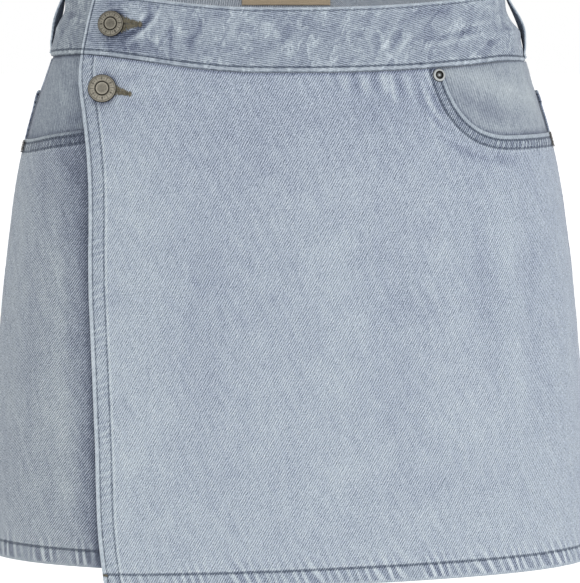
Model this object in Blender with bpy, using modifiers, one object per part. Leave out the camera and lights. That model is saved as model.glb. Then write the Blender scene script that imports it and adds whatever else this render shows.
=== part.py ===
"""Denim wrap skort: wide shorts with a skirt panel that buttons across the front.

The garment keeps the hollow form of a general figure. +X is the wearer's left, -Y the front and
+Z up. The origin is the centre of the waistband's ring, halfway up the band at the side seams.
"""

import math
from typing import NamedTuple

import bmesh
import bpy
import numpy as np
from mathutils import Matrix, Vector

MM = 0.001

# Cloth and the clearances between its layers.
WALL = 1.2 * MM
BAND_WALL = 2.4 * MM
SEAM_GAP = 0.4 * MM
INSEAM_GAP = 0.6 * MM
REST_GAP = 0.3 * MM

# How far each layer lies inside the garment's outer surface.
BAND_PROUD = 1.0 * MM
YOKE_INSET = 1.4 * MM
FACING_INSET = 1.8 * MM
UNDER_BAND_INSET = 2.2 * MM
UNDER_LEG_INSET = 2.3 * MM
HIDDEN_LEG_INSET = 4.0 * MM
LEG_FLARE_INSET = 1.4 * MM

# Heights at the side seams, and what the front and back add to them at the centre.
BAND_TOP = 20.5 * MM
BAND_SEAM = -21.0 * MM
FRONT_DIP = -8.3 * MM
BACK_RISE = 8.0 * MM
OVERLAP_LIFT = 5.4 * MM
OVERLAP_TOP_SHARE = 0.6
SIDE_SETTLE = 3.2 * MM
SHORTS_HEM = -350.0 * MM
YOKE_SIDE = -44.0 * MM
YOKE_CENTRE_DROP = -26.0 * MM

# The cross-section is a superellipse, a little fuller than an ellipse.
FULLNESS = 2.3
SIDE_ANGLE = math.radians(86)
SIDE_SEAM_TURN = math.radians(0.3)
BAND_SEAM_TURN = math.radians(0.45)
CENTRE_TURN = math.radians(0.03)

# Crotch: the rises leave the front and back at these heights and meet at the crotch point.
FRONT_RISE_START = -195.0 * MM
BACK_RISE_START = -165.0 * MM
CROTCH = -262.0 * MM
CROTCH_Y = 12.0 * MM
INNER_ROUND = 58.0 * MM
LEG_GAP_AT_HEM = 28.0 * MM
RISE_ROUNDNESS = 0.8
INNER_TURN = math.radians(20)

# A layer that comes out to a side seam does so over these turns and heights.
LAYER_TURN = math.radians(14)
BAND_LAYER_TURN = math.radians(22)

# The buttons draw the band up over these angles, most of all at its free edge.
LIFT_FROM, LIFT_TO = math.radians(-86), math.radians(-6)
FREE_EDGE_ANGLE = math.radians(-46)

# The band's lower seam settles a little where it comes round to the +X side.
SETTLE_FROM, SETTLE_TO = math.radians(58), math.radians(86)
SETTLE_KEPT, SETTLE_END = math.radians(92), math.radians(128)
FLARE_FROM, FLARE_TO = 0.10, 0.34
CLOSED_FROM, CLOSED_TO = 0.09, 0.13

# How many columns and rows of faces the pieces have.
WRAP_COLUMNS, WRAP_ROWS = 17, 15
INNER_COLUMNS, BACK_LEG_COLUMNS, FRONT_LEG_COLUMNS = 6, 11, 10
UPPER_LEG_ROWS, RISE_ROWS, LOWER_LEG_ROWS = 6, 7, 4
YOKE_COLUMNS, BAND_FRONT_COLUMNS, BAND_BACK_COLUMNS = 12, 22, 26
UNDER_BAND_COLUMNS, LOOP_ROWS, LABEL_COLUMNS = 12, 8, 6
BUTTON_STEPS, RIVET_STEPS, HOLE_STEPS = 20, 16, 12

# Slant pocket: its edge starts and turns level at these shares of the garment's half width.
POCKET_START_SHARE = 0.627
POCKET_END_SHARE = 0.86
POCKET_ROUNDNESS = 0.68
POCKET_TOP = -27.4 * MM
POCKET_DROP = 44.0 * MM
POCKET_OVERLAP = 12.0 * MM
POCKET_TURN_STEPS = 6
POCKET_LEVEL_STEPS = 5
FACING_FIRST_TURN = math.radians(22)

# The pocket on the -X side slants: higher by the first of these inside, lower by the other outside.
TILT_RISE, TILT_FALL = 3.6 * MM, 4.6 * MM
TILT_FROM, TILT_TO = math.radians(44), math.radians(84)
TILT_TOP, TILT_FULL = 27.4 * MM, 58.0 * MM

# Fastenings.
BUTTON_RADIUS = 8.75 * MM
BUTTON_POST_RADIUS = 2.5 * MM
BUTTON_STAND = 0.5 * MM
BUTTON_WAIST_AT = (-113.4 * MM, 0.9 * MM)
BUTTON_LOWER_AT = (-119.8 * MM, -40.7 * MM)
BUTTONHOLE_REACH = 19.0 * MM
BUTTONHOLE_SLIT = 1.6 * MM
RIVET_RADIUS = 4.2 * MM
RIVET_POST_RADIUS = 1.4 * MM
RIVET_AT = (97.1 * MM, -31.8 * MM)
HOLE_CLEARANCE = 0.4 * MM
CUTTER_DEPTH = 12.0 * MM

# Belt loops stand off the band at the side seams.
LOOP_WIDTH = 11.0 * MM
LOOP_WALL = 1.8 * MM
LOOP_BULGE_LEFT = 3.5 * MM
LOOP_BULGE_RIGHT = 2.2 * MM
LOOP_END_MARGIN = 1.0 * MM

LABEL_WIDTH = 61.4 * MM
LABEL_PLACE = -1.6 * MM
LABEL_WALL = 1.0 * MM
LABEL_TOP = 27.2 * MM
LABEL_BOTTOM = 10.2 * MM


class Section(NamedTuple):
    """Outline of the garment at one height."""

    height: float
    lean: float
    half_width: float
    front: float
    back: float


SECTIONS = (
    Section(30.0 * MM, -2.5 * MM, 141.5 * MM, 81.0 * MM, 85.0 * MM),
    Section(20.5 * MM, -2.4 * MM, 143.8 * MM, 82.8 * MM, 87.0 * MM),
    Section(2.0 * MM, -2.2 * MM, 148.6 * MM, 86.0 * MM, 91.5 * MM),
    Section(-21.0 * MM, -0.7 * MM, 156.8 * MM, 90.0 * MM, 98.0 * MM),
    Section(-52.0 * MM, -0.4 * MM, 167.9 * MM, 96.0 * MM, 108.0 * MM),
    Section(-90.0 * MM, 0.0 * MM, 178.0 * MM, 101.5 * MM, 118.0 * MM),
    Section(-145.0 * MM, 0.0 * MM, 186.3 * MM, 106.5 * MM, 124.0 * MM),
    Section(-211.0 * MM, 0.0 * MM, 193.3 * MM, 110.5 * MM, 122.0 * MM),
    Section(-285.0 * MM, 0.0 * MM, 199.4 * MM, 114.5 * MM, 119.0 * MM),
    Section(-370.0 * MM, 0.0 * MM, 206.0 * MM, 119.0 * MM, 119.0 * MM),
)


class EdgePoint(NamedTuple):
    """Place of the wrap's free edge at one height."""

    height: float
    x: float


WRAP_EDGE = (
    EdgePoint(20.0 * MM, -126.5 * MM),
    EdgePoint(-2.0 * MM, -131.5 * MM),
    EdgePoint(-33.0 * MM, -136.4 * MM),
    EdgePoint(-56.0 * MM, -133.8 * MM),
    EdgePoint(-80.0 * MM, -131.0 * MM),
    EdgePoint(-171.0 * MM, -129.2 * MM),
    EdgePoint(-267.0 * MM, -125.2 * MM),
    EdgePoint(-345.0 * MM, -121.5 * MM),
    EdgePoint(-364.0 * MM, -118.5 * MM),
)


class HemPoint(NamedTuple):
    """Height of the wrap's hem at one place across the front."""

    x: float
    height: float


WRAP_HEM = (
    HemPoint(-119.0 * MM, -364.0 * MM),
    HemPoint(-30.0 * MM, -360.5 * MM),
    HemPoint(98.0 * MM, -355.5 * MM),
    HemPoint(205.0 * MM, -353.0 * MM),
)


class TurnedPoint(NamedTuple):
    """Point of a turned profile: a share of the body's radius, and the height above its back."""

    share: float
    height: float


BUTTON_PROFILE = (
    TurnedPoint(0.0, 3.1 * MM),
    TurnedPoint(0.36, 2.9 * MM),
    TurnedPoint(0.42, 2.3 * MM),
    TurnedPoint(0.50, 2.3 * MM),
    TurnedPoint(0.66, 2.9 * MM),
    TurnedPoint(0.84, 2.4 * MM),
    TurnedPoint(1.0, 1.2 * MM),
    TurnedPoint(0.96, 0.3 * MM),
    TurnedPoint(0.88, 0.0),
)

RIVET_PROFILE = (
    TurnedPoint(0.0, 0.7 * MM),
    TurnedPoint(0.40, 0.7 * MM),
    TurnedPoint(0.58, 1.4 * MM),
    TurnedPoint(0.80, 1.5 * MM),
    TurnedPoint(1.0, 0.9 * MM),
    TurnedPoint(1.0, 0.0),
)


def smooth_value(table, place, column):
    """Value of a column at a place, from a smooth curve through a table sorted by its first column."""
    rows = sorted(table)
    keys = [row[0] for row in rows]
    values = [getattr(row, column) for row in rows]
    slopes = np.gradient(values, keys)
    place = min(max(place, keys[0]), keys[-1])
    last = min(int(np.searchsorted(keys, place, side="right")), len(keys) - 1)
    step = keys[last] - keys[last - 1]
    t = (place - keys[last - 1]) / step
    return float(
        values[last - 1] * (1 + 2 * t) * (1 - t) ** 2
        + slopes[last - 1] * step * t * (1 - t) ** 2
        + values[last] * t * t * (3 - 2 * t)
        + slopes[last] * step * t * t * (t - 1)
    )


def mix(start, end, share):
    """Value that lies a share of the way from start to end."""
    return start + (end - start) * share


def ease(value, low, high):
    """0 below low, 1 above high, and a smooth rise between them."""
    share = min(max((value - low) / (high - low), 0.0), 1.0)
    return share * share * (3 - 2 * share)


def signed_power(value, power):
    """Power of a value's size, with its sign kept."""
    return math.copysign(abs(value) ** power, value)


def ring_point(angle, height, inset=0.0):
    """Point of the garment's surface; the angle is 0 at the centre front and grows towards +X."""
    depth_column = "front" if math.cos(angle) > 0 else "back"
    half_width = smooth_value(SECTIONS, height, "half_width") - inset
    depth = smooth_value(SECTIONS, height, depth_column) - inset
    lean = smooth_value(SECTIONS, height, "lean")
    x = lean + half_width * signed_power(math.sin(angle), 2 / FULLNESS)
    y = -depth * signed_power(math.cos(angle), 2 / FULLNESS)
    return Vector((x, y, height))


def front_angle(x, height, inset=0.0):
    """Angle of the front surface's point at this x and height."""
    offset = x - smooth_value(SECTIONS, height, "lean")
    share = offset / (smooth_value(SECTIONS, height, "half_width") - inset)
    return math.asin(signed_power(min(max(share, -1.0), 1.0), FULLNESS / 2))


def contour(angle):
    """What the band's seams add to their side height at this angle."""
    lean = math.cos(angle) ** 2
    return lean * (FRONT_DIP if math.cos(angle) > 0 else BACK_RISE)


def overlap_lift(angle):
    """How far the buttons draw the band's lower seam up at this angle."""
    share = min(max((angle - LIFT_FROM) / (LIFT_TO - LIFT_FROM), 0.0), 1.0)
    return OVERLAP_LIFT * math.sin(math.pi * share) ** 1.6


def band_top(angle):
    """Height of the waistband's upper edge."""
    return BAND_TOP + contour(angle) + OVERLAP_TOP_SHARE * overlap_lift(angle)


def side_settle(angle):
    """How far the band's lower seam settles at this angle."""
    return SIDE_SETTLE * ease(angle, SETTLE_FROM, SETTLE_TO) * (1 - ease(angle, SETTLE_KEPT, SETTLE_END))


def band_seam(angle):
    """Height of the waistband's lower seam."""
    return BAND_SEAM + contour(angle) + overlap_lift(angle) - side_settle(angle)


def panel_top(angle, inset=0.0):
    """Height where a panel starts below the waistband, whose lower edge slopes down inwards."""
    climb = ring_point(angle, BAND_SEAM) - ring_point(angle, BAND_TOP)
    lean = climb.xy.length / -climb.z
    return band_seam(angle) - SEAM_GAP - lean * (inset + BAND_PROUD)


def yoke_seam(angle):
    """Height of the seam under the back yoke, which drops towards the centre back."""
    return YOKE_SIDE + YOKE_CENTRE_DROP * abs(math.cos(angle)) ** 1.5


def wrap_hem(x):
    """Height of the wrap's hem."""
    return smooth_value(WRAP_HEM, x, "height")


def wrap_edge(height):
    """Place of the wrap's free edge."""
    return smooth_value(WRAP_EDGE, height, "x")


def pocket_curve(margin=0.0, first_turn=0.0):
    """Points (angle, height) of the pocket's edge on the +X side, moved out by a margin."""
    reach = POCKET_END_SHARE - POCKET_START_SHARE + margin / SECTIONS[3].half_width
    points = []
    for turn in np.linspace(first_turn, math.pi / 2, POCKET_TURN_STEPS + 1):
        share = POCKET_END_SHARE - reach * abs(math.cos(turn)) ** POCKET_ROUNDNESS
        height = POCKET_TOP - (POCKET_DROP + margin) * math.sin(turn)
        points.append((math.asin(share ** (FULLNESS / 2)), height))
    start, level = points[-1]
    for step in range(1, POCKET_LEVEL_STEPS + 1):
        points.append((mix(start, SIDE_ANGLE, step / POCKET_LEVEL_STEPS), level))
    return points


def tilted(curve):
    """A pocket's curve, slanted as on the -X side."""
    points = []
    for angle, height in curve:
        slant = mix(TILT_RISE, -TILT_FALL, ease(angle, TILT_FROM, TILT_TO))
        points.append((angle, height + slant * ease(-height, TILT_TOP, TILT_FULL)))
    return points


def cloth(name, rows, wall, material, collection):
    """A cloth wall: a grid laid through rows of points, top row first, and thickened inwards.

    Each row runs towards a growing angle, so that the grid faces outwards.
    """
    last_row, last_column = len(rows) - 1, len(rows[0]) - 1
    mesh = bpy.data.meshes.new(name)
    grid = bmesh.new()
    bmesh.ops.create_grid(grid, x_segments=last_column, y_segments=last_row, size=0.5)
    for vert in grid.verts:
        column = round((vert.co.x + 0.5) * last_column)
        row = round((0.5 - vert.co.y) * last_row)
        vert.co = rows[row][column]
    bmesh.ops.triangulate(grid, faces=grid.faces, quad_method="SHORT_EDGE")
    grid.to_mesh(mesh)
    grid.free()
    mesh.shade_smooth()
    mesh.set_sharp_from_angle(angle=math.radians(40))
    panel = add_object(name, mesh, material, collection)
    solidify = panel.modifiers.new("Wall", "SOLIDIFY")
    solidify.thickness = wall
    solidify.offset = -1
    return panel


def add_object(name, mesh, material, collection):
    """Object for a mesh, linked to its collection."""
    made = bpy.data.objects.new(name, mesh)
    if material:
        mesh.materials.append(material)
    collection.objects.link(made)
    return made


def cut(target, cutter):
    """Subtracts a hidden cutter from a target."""
    cutter.hide_render = True
    cutter.display_type = "WIRE"
    boolean = target.modifiers.new(cutter.name, "BOOLEAN")
    boolean.operation = "DIFFERENCE"
    boolean.object = cutter


def frame_on_front(place, height, outwards):
    """Matrix at a place on the front surface: Z leaves the cloth and X runs along it towards +X."""
    angle = front_angle(place, height)
    reach = 2 * MM
    centre = ring_point(angle, height)
    beside = ring_point(front_angle(place + reach, height), height) - centre
    above = ring_point(angle, height + reach) - centre
    across = beside.normalized()
    normal = across.cross(above).normalized()
    upwards = normal.cross(across)
    turn = Matrix((across, upwards, normal)).transposed().to_4x4()
    return Matrix.Translation(centre + normal * outwards) @ turn


def build_wrap(material, collection):
    """Wrap panel, whose top follows the band's seam and then the pocket's edge."""
    pocket = pocket_curve()
    pocket_start = pocket[0][0]
    edge_top = panel_top(front_angle(wrap_edge(BAND_SEAM), BAND_SEAM))
    rows = []
    for row in range(WRAP_ROWS + 1):
        down = row / WRAP_ROWS
        edge_height = mix(edge_top, WRAP_EDGE[-1].height, down)
        edge_angle = front_angle(wrap_edge(edge_height), edge_height)
        points = []
        for column in range(WRAP_COLUMNS):
            angle = mix(edge_angle, pocket_start, column / WRAP_COLUMNS)
            points.append((angle, panel_top(angle)))
        points += [(angle, min(height, panel_top(angle))) for angle, height in pocket]
        placed = []
        for angle, top in points:
            hem = wrap_hem(ring_point(angle, SHORTS_HEM).x)
            placed.append(ring_point(angle, mix(top, hem, down)))
        rows.append(placed)
    return cloth("front_wrap", rows, WALL, material, collection)


def seam_turn(face):
    """Turn of the side seam away from the centre front or back."""
    return SIDE_ANGLE if face > 0 else math.pi - SIDE_ANGLE - SIDE_SEAM_TURN


def leg_arc(level, side, face, inset_at, turns):
    """Points of a leg's outline at the given turns away from the centre front or back.

    side is 1 for the wearer's left, face is 1 for the front, and inset_at takes a turn and a height.
    """
    centre = 0.0 if face > 0 else math.pi
    return [ring_point(side * abs(centre - turn), level, inset_at(turn, level)) for turn in turns]


def leg_outline(level, side, face, inset_at):
    """Outline of a leg below the start of its rise, from the inner turn round to its inner seam."""
    start = FRONT_RISE_START if face > 0 else BACK_RISE_START
    share = min((start - level) / (start - CROTCH), 1.0)
    below = min(max((CROTCH - level) / (CROTCH - SHORTS_HEM), 0.0), 1.0)
    inner_x = SEAM_GAP / 2 + (LEG_GAP_AT_HEM / 2) * below
    round_x = INNER_ROUND * share**RISE_ROUNDNESS
    corner_turn = front_angle(inner_x + round_x, level, inset_at(0.0, level))
    points = leg_arc(level, side, face, inset_at, np.linspace(INNER_TURN, corner_turn, 17))
    corner = points.pop()
    seam_y = mix(CROTCH_Y, corner.y, math.sqrt(1 - share * share)) - face * INSEAM_GAP / 2
    for turn in np.linspace(0.0, math.pi / 2, 25):
        x = inner_x + round_x * (1 - math.sin(turn))
        points.append(Vector((side * x, mix(seam_y, corner.y, math.cos(turn)), level)))
    return points


def lengths_along(points):
    """Length of a polyline up to each of its points."""
    return np.cumsum([0.0] + [(b - a).length for a, b in zip(points, points[1:])])


def along(points, share):
    """Point at a share of a polyline's length."""
    lengths = lengths_along(points)
    place = share * lengths[-1]
    last = min(int(np.searchsorted(lengths, place, side="right")), len(points) - 1)
    step = lengths[last] - lengths[last - 1]
    return points[last - 1].lerp(points[last], (place - lengths[last - 1]) / step)


def leg_levels(top, start):
    """Heights of a column's points: level with the other columns' from the start of the rise down."""
    levels = list(np.linspace(top, start, UPPER_LEG_ROWS + 1))
    levels += list(np.linspace(start, CROTCH, RISE_ROWS + 1)[1:])
    levels += list(np.linspace(CROTCH, SHORTS_HEM, LOWER_LEG_ROWS + 1)[1:])
    return levels


def leg_rows(side, face, turns, tops, inset_at):
    """Rows of one shorts panel, from its top edge to the hem.

    A column keeps its turn. Below the start of the rise, those inside the inner turn keep instead
    their share of the outline that is left, so that they follow it in between the legs.
    """
    start = FRONT_RISE_START if face > 0 else BACK_RISE_START
    fine_turns = np.linspace(INNER_TURN, 0.0, 31)
    lengths = lengths_along(leg_arc(start, side, face, inset_at, fine_turns))
    columns = []
    for turn, top in zip(turns, tops):
        share = 1.0 if turn == turns[-1] else np.interp(-turn, -fine_turns, lengths / lengths[-1])
        column = []
        for level in leg_levels(top, start):
            if level >= start or turn >= INNER_TURN:
                column += leg_arc(level, side, face, inset_at, [turn])
            else:
                column.append(along(leg_outline(level, side, face, inset_at), share))
        columns.append(column)
    rows = [list(row) for row in zip(*columns)]
    return rows if side * face < 0 else [row[::-1] for row in rows]


def right_leg_inset(angle, height):
    """Inset of the shorts front that shows beside the wrap: none at its side seam."""
    under_wrap = ease(SIDE_ANGLE - abs(angle), 0.0, LAYER_TURN)
    flare = ease(-height, FLARE_FROM, FLARE_TO)
    return under_wrap * (UNDER_LEG_INSET + LEG_FLARE_INSET * flare)


def left_leg_inset(angle, height):
    """Inset of the shorts front under the wrap, which closes on the side seam below the pocket."""
    at_side = 1 - ease(SIDE_ANGLE - abs(angle), 0.0, LAYER_TURN)
    below_pocket = ease(-height, CLOSED_FROM, CLOSED_TO)
    flare = ease(-height, FLARE_FROM, FLARE_TO)
    deep = HIDDEN_LEG_INSET + LEG_FLARE_INSET * flare
    return mix(deep, WALL + SEAM_GAP, at_side * below_pocket)


def even_turns(start, outer_columns):
    """Turns from a start to the inner turn, and from there to the centre seam."""
    outer = np.linspace(start, INNER_TURN, outer_columns + 1)
    inner = np.linspace(INNER_TURN, CENTRE_TURN, INNER_COLUMNS + 1)
    return [float(turn) for turn in (*outer, *inner[1:])]


def build_front_leg_right(material, collection):
    """Shorts front of the wearer's right leg, whose top follows the band's seam and the pocket."""
    pocket = tilted(pocket_curve())[::-1]
    turns = [angle for angle, _ in pocket]
    plain = even_turns(turns[-1], 2)[1:]
    tops = [height for _, height in pocket]
    tops[-1] = panel_top(turns[-1], right_leg_inset(turns[-1], BAND_SEAM))
    tops += [panel_top(turn, right_leg_inset(turn, BAND_SEAM)) for turn in plain]
    rows = leg_rows(-1, 1, turns + plain, tops, right_leg_inset)
    return cloth("front_leg_right", rows, WALL, material, collection)


def build_front_leg_left(material, collection):
    """Shorts front of the wearer's left leg, under the wrap."""
    turns = even_turns(SIDE_ANGLE, FRONT_LEG_COLUMNS)
    tops = [panel_top(turn, left_leg_inset(turn, BAND_SEAM)) for turn in turns]
    rows = leg_rows(1, 1, turns, tops, left_leg_inset)
    return cloth("front_leg_left", rows, WALL, material, collection)


def build_back_leg(name, side, material, collection):
    """Shorts back of one leg, from the yoke's seam to the hem."""
    turns = even_turns(seam_turn(-1), BACK_LEG_COLUMNS)
    tops = [yoke_seam(math.pi - turn) - SEAM_GAP for turn in turns]
    rows = leg_rows(side, -1, turns, tops, lambda turn, height: 0.0)
    return cloth(name, rows, WALL, material, collection)


def back_angles(side, columns):
    """Angles from the side seam to the centre back, or the other way, in growing order."""
    start = SIDE_ANGLE + SIDE_SEAM_TURN
    angles = np.linspace(start, math.pi - CENTRE_TURN, columns + 1)
    return angles if side > 0 else -angles[::-1]


def build_yoke(name, side, material, collection):
    """Back yoke, between the waistband and the back leg."""
    rows = [
        [
            ring_point(angle, mix(panel_top(angle, YOKE_INSET), yoke_seam(angle), down), YOKE_INSET)
            for angle in back_angles(side, YOKE_COLUMNS)
        ]
        for down in (0.0, 0.5, 1.0)
    ]
    return cloth(name, rows, WALL, material, collection)


def build_facing(name, side, inset_at, material, collection):
    """Hip facing behind a pocket's edge, from the band's seam to just below the edge."""
    curve = pocket_curve(POCKET_OVERLAP, FACING_FIRST_TURN)
    curve = curve if side > 0 else tilted(curve)
    columns = [(side * angle, bottom) for angle, bottom in curve][::side]
    rows = []
    for down in (0.0, 0.35, 0.7, 1.0):
        row = []
        for angle, bottom in columns:
            top = panel_top(angle, inset_at(angle, BAND_SEAM))
            height = mix(top, bottom, down)
            row.append(ring_point(angle, height, inset_at(angle, height)))
        rows.append(row)
    return cloth(name, rows, WALL, material, collection)


def right_facing_inset(angle, height):
    """Inset of the facing behind the shorts front that shows."""
    return right_leg_inset(angle, height) + FACING_INSET


def left_facing_inset(angle, height):
    """Inset of the facing behind the wrap."""
    return FACING_INSET


def band_rows(angles, inset_at):
    """Rows of a waistband piece at the given angles."""
    rows = []
    for down in (0.0, 0.5, 1.0):
        row = []
        for angle in angles:
            height = mix(band_top(angle), band_seam(angle), down)
            row.append(ring_point(angle, height, inset_at(angle)))
        rows.append(row)
    return rows


def build_over_band(material, collection):
    """Waistband of the wrap, from its free edge to the wearer's left side seam."""
    rows = []
    for down in (0.0, 0.5, 1.0):
        edge_height = mix(band_top(FREE_EDGE_ANGLE), band_seam(FREE_EDGE_ANGLE), down)
        edge_angle = front_angle(wrap_edge(edge_height), edge_height)
        angles = np.linspace(edge_angle, SIDE_ANGLE, BAND_FRONT_COLUMNS + 1)
        heights = [mix(band_top(angle), band_seam(angle), down) for angle in angles]
        rows.append([ring_point(angle, z, -BAND_PROUD) for angle, z in zip(angles, heights)])
    return cloth("waistband_over", rows, BAND_WALL, material, collection)


def build_back_band(material, collection):
    """Waistband from side seam to side seam round the back."""
    start = SIDE_ANGLE + BAND_SEAM_TURN
    angles = np.linspace(start, 2 * math.pi - start, BAND_BACK_COLUMNS + 1)
    rows = band_rows(angles, lambda angle: -BAND_PROUD)
    return cloth("waistband_back", rows, BAND_WALL, material, collection)


def build_under_bands(material, collection):
    """The two front halves of the shorts' own waistband, which part at the centre front."""

    def right_inset(angle):
        share = ease(SIDE_ANGLE + angle, 0.0, BAND_LAYER_TURN)
        return mix(-BAND_PROUD, UNDER_BAND_INSET, share)

    turns = np.linspace(CENTRE_TURN, SIDE_ANGLE, UNDER_BAND_COLUMNS + 1)
    right = band_rows(-turns[::-1], right_inset)
    left = band_rows(turns, lambda angle: UNDER_BAND_INSET)
    cloth("waistband_under_right", right, BAND_WALL, material, collection)
    cloth("waistband_under_left", left, BAND_WALL, material, collection)


def build_belt_loop(name, side, bulge, material, collection):
    """Belt loop over a side seam: a strip that bows away from the band and ends on it."""
    top, bottom = BAND_TOP - LOOP_END_MARGIN, band_seam(side * math.pi / 2) + LOOP_END_MARGIN
    ends = [ring_point(side * math.pi / 2, height, -BAND_PROUD).x for height in (top, bottom)]
    stand = LOOP_WALL + 1.5 * REST_GAP
    half_width = side * LOOP_WIDTH / 2
    rows = []
    for down in np.linspace(0.0, 1.0, LOOP_ROWS + 1):
        x = mix(*ends, down) + side * (stand + bulge * math.sin(math.pi * down))
        height = mix(top, bottom, down)
        rows.append([Vector((x, y, height)) for y in (-half_width, 0.0, half_width)])
    return cloth(name, rows, LOOP_WALL, material, collection)


def build_label(material, collection):
    """Bare label inside the back band, a little off the centre back."""
    inset = BAND_WALL - BAND_PROUD + 2 * REST_GAP
    rows = []
    for height in (LABEL_TOP, LABEL_BOTTOM):
        places = LABEL_PLACE + np.linspace(LABEL_WIDTH / 2, -LABEL_WIDTH / 2, LABEL_COLUMNS + 1)
        angles = [math.pi - front_angle(x, height, inset) for x in places]
        rows.append([ring_point(angle, height, inset) for angle in angles])
    return cloth("label", rows, LABEL_WALL, material, collection)


def turned(name, profile, matrix, steps, material, collection):
    """A body turned round its Z axis from (radius, height) points, outer side from top to bottom."""
    mesh = bpy.data.meshes.new(name)
    verts = [(radius, 0.0, height) for radius, height in profile]
    mesh.from_pydata(verts, [(i, i + 1) for i in range(len(verts) - 1)], [])
    body = add_object(name, mesh, material, collection)
    screw = body.modifiers.new("Turn", "SCREW")
    screw.steps = screw.render_steps = steps
    screw.use_merge_vertices = True
    screw.merge_threshold = 0.00001
    screw.use_smooth_shade = True
    body.matrix_world = matrix
    return body


def post_profile(profile, radius, stand, post_radius, post_length):
    """Points (radius, height) of a head that stands off the cloth, and of its post below."""
    points = [(point.share * radius, stand + point.height) for point in profile]
    points += [(post_radius, stand), (post_radius, -post_length), (0.0, -post_length)]
    return points


def build_button(name, place, wrap_proud, post_length, material, collection):
    """Shank button: a domed ring round a raised disc, on a post that passes through its hole."""
    profile = post_profile(
        BUTTON_PROFILE, BUTTON_RADIUS, BUTTON_STAND, BUTTON_POST_RADIUS, post_length
    )
    matrix = frame_on_front(*place, wrap_proud)
    return turned(name, profile, matrix, BUTTON_STEPS, material, collection)


def build_rivet(material, collection):
    """Rivet cap with a hollow middle, on a post through the wrap at the pocket's corner."""
    profile = post_profile(RIVET_PROFILE, RIVET_RADIUS, REST_GAP, RIVET_POST_RADIUS, WALL)
    matrix = frame_on_front(*RIVET_AT, 0.0)
    return turned("rivet", profile, matrix, RIVET_STEPS, material, collection)


def cut_shape(panel, name, shape, matrix, collection):
    """Subtracts a shape, placed by a matrix, from a panel."""
    mesh = bpy.data.meshes.new(f"{panel.name}_{name}")
    shape.to_mesh(mesh)
    shape.free()
    cutter = add_object(mesh.name, mesh, None, collection)
    cutter.matrix_world = matrix
    cut(panel, cutter)


def cut_post_hole(panel, post_radius, matrix, collection):
    """Drills a clear hole through a panel for a post."""
    shape = bmesh.new()
    radius = post_radius + HOLE_CLEARANCE
    bmesh.ops.create_cone(
        shape,
        cap_ends=True,
        segments=HOLE_STEPS,
        radius1=radius,
        radius2=radius,
        depth=CUTTER_DEPTH,
    )
    cut_shape(panel, "post_hole", shape, matrix, collection)


def cut_buttonhole(panel, place, wrap_proud, collection):
    """Keyhole through a panel: a round eye for the post and a slit towards +X."""
    matrix = frame_on_front(*place, wrap_proud)
    cut_post_hole(panel, BUTTON_POST_RADIUS, matrix, collection)
    slit = bmesh.new()
    bmesh.ops.create_cube(slit, size=1.0)
    size = Vector((BUTTONHOLE_REACH, BUTTONHOLE_SLIT, CUTTER_DEPTH))
    bmesh.ops.scale(slit, vec=size, verts=slit.verts)
    bmesh.ops.translate(slit, vec=(BUTTONHOLE_REACH / 2, 0.0, 0.0), verts=slit.verts)
    cut_shape(panel, "slit", slit, matrix, collection)


def linear(*levels):
    """Linear colour, with alpha, from sRGB levels out of 255."""
    shares = [level / 255 for level in levels]
    return (*((s / 12.92 if s <= 0.04045 else ((s + 0.055) / 1.055) ** 2.4) for s in shares), 1.0)


def new_material(name, colour, roughness, metallic):
    """Material with one Principled BSDF."""
    material = bpy.data.materials.new(name)
    material.use_nodes = True
    surface = material.node_tree.nodes["Principled BSDF"]
    surface.inputs["Base Color"].default_value = colour
    surface.inputs["Roughness"].default_value = roughness
    surface.inputs["Metallic"].default_value = metallic
    material.diffuse_color = colour
    return material


def new_collection(name):
    """Collection under the scene's own."""
    made = bpy.data.collections.new(name)
    bpy.context.scene.collection.children.link(made)
    return made


def main():
    """Clears the scene and builds every piece of the skort."""
    for old in list(bpy.data.objects):
        bpy.data.objects.remove(old, do_unlink=True)
    pieces = new_collection("wrap_skort")
    cutters = new_collection("cutters")
    denim = new_material("denim", linear(170, 179, 192), 0.9, 0.0)
    metal = new_material("antique_metal", linear(118, 115, 106), 0.45, 1.0)
    tan = new_material("label_tan", linear(159, 144, 122), 0.8, 0.0)

    wrap = build_wrap(denim, pieces)
    build_front_leg_right(denim, pieces)
    build_front_leg_left(denim, pieces)
    build_back_leg("back_leg_left", 1, denim, pieces)
    build_back_leg("back_leg_right", -1, denim, pieces)
    build_yoke("yoke_left", 1, denim, pieces)
    build_yoke("yoke_right", -1, denim, pieces)
    build_facing("pocket_facing_left", 1, left_facing_inset, denim, pieces)
    build_facing("pocket_facing_right", -1, right_facing_inset, denim, pieces)

    over_band = build_over_band(denim, pieces)
    build_back_band(denim, pieces)
    build_under_bands(denim, pieces)
    build_belt_loop("belt_loop_left", 1, LOOP_BULGE_LEFT, denim, pieces)
    build_belt_loop("belt_loop_right", -1, LOOP_BULGE_RIGHT, denim, pieces)
    build_label(tan, pieces)

    waist_post = BAND_PROUD + UNDER_BAND_INSET - REST_GAP
    lower_post = UNDER_LEG_INSET + FACING_INSET - REST_GAP
    build_button("button_waist", BUTTON_WAIST_AT, BAND_PROUD, waist_post, metal, pieces)
    build_button("button_lower", BUTTON_LOWER_AT, 0.0, lower_post, metal, pieces)
    cut_buttonhole(over_band, BUTTON_WAIST_AT, BAND_PROUD, cutters)
    cut_buttonhole(wrap, BUTTON_LOWER_AT, 0.0, cutters)
    build_rivet(metal, pieces)
    cut_post_hole(wrap, RIVET_POST_RADIUS, frame_on_front(*RIVET_AT, 0.0), cutters)


main()
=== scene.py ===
"""Looks of the wrap skort: worn, light-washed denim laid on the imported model's own form."""

import logging
import math
from dataclasses import dataclass, field
from enum import Enum
from typing import Callable, Optional, Sequence, Union

import bpy
import numpy as np
from mathutils import Matrix, Vector


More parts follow.
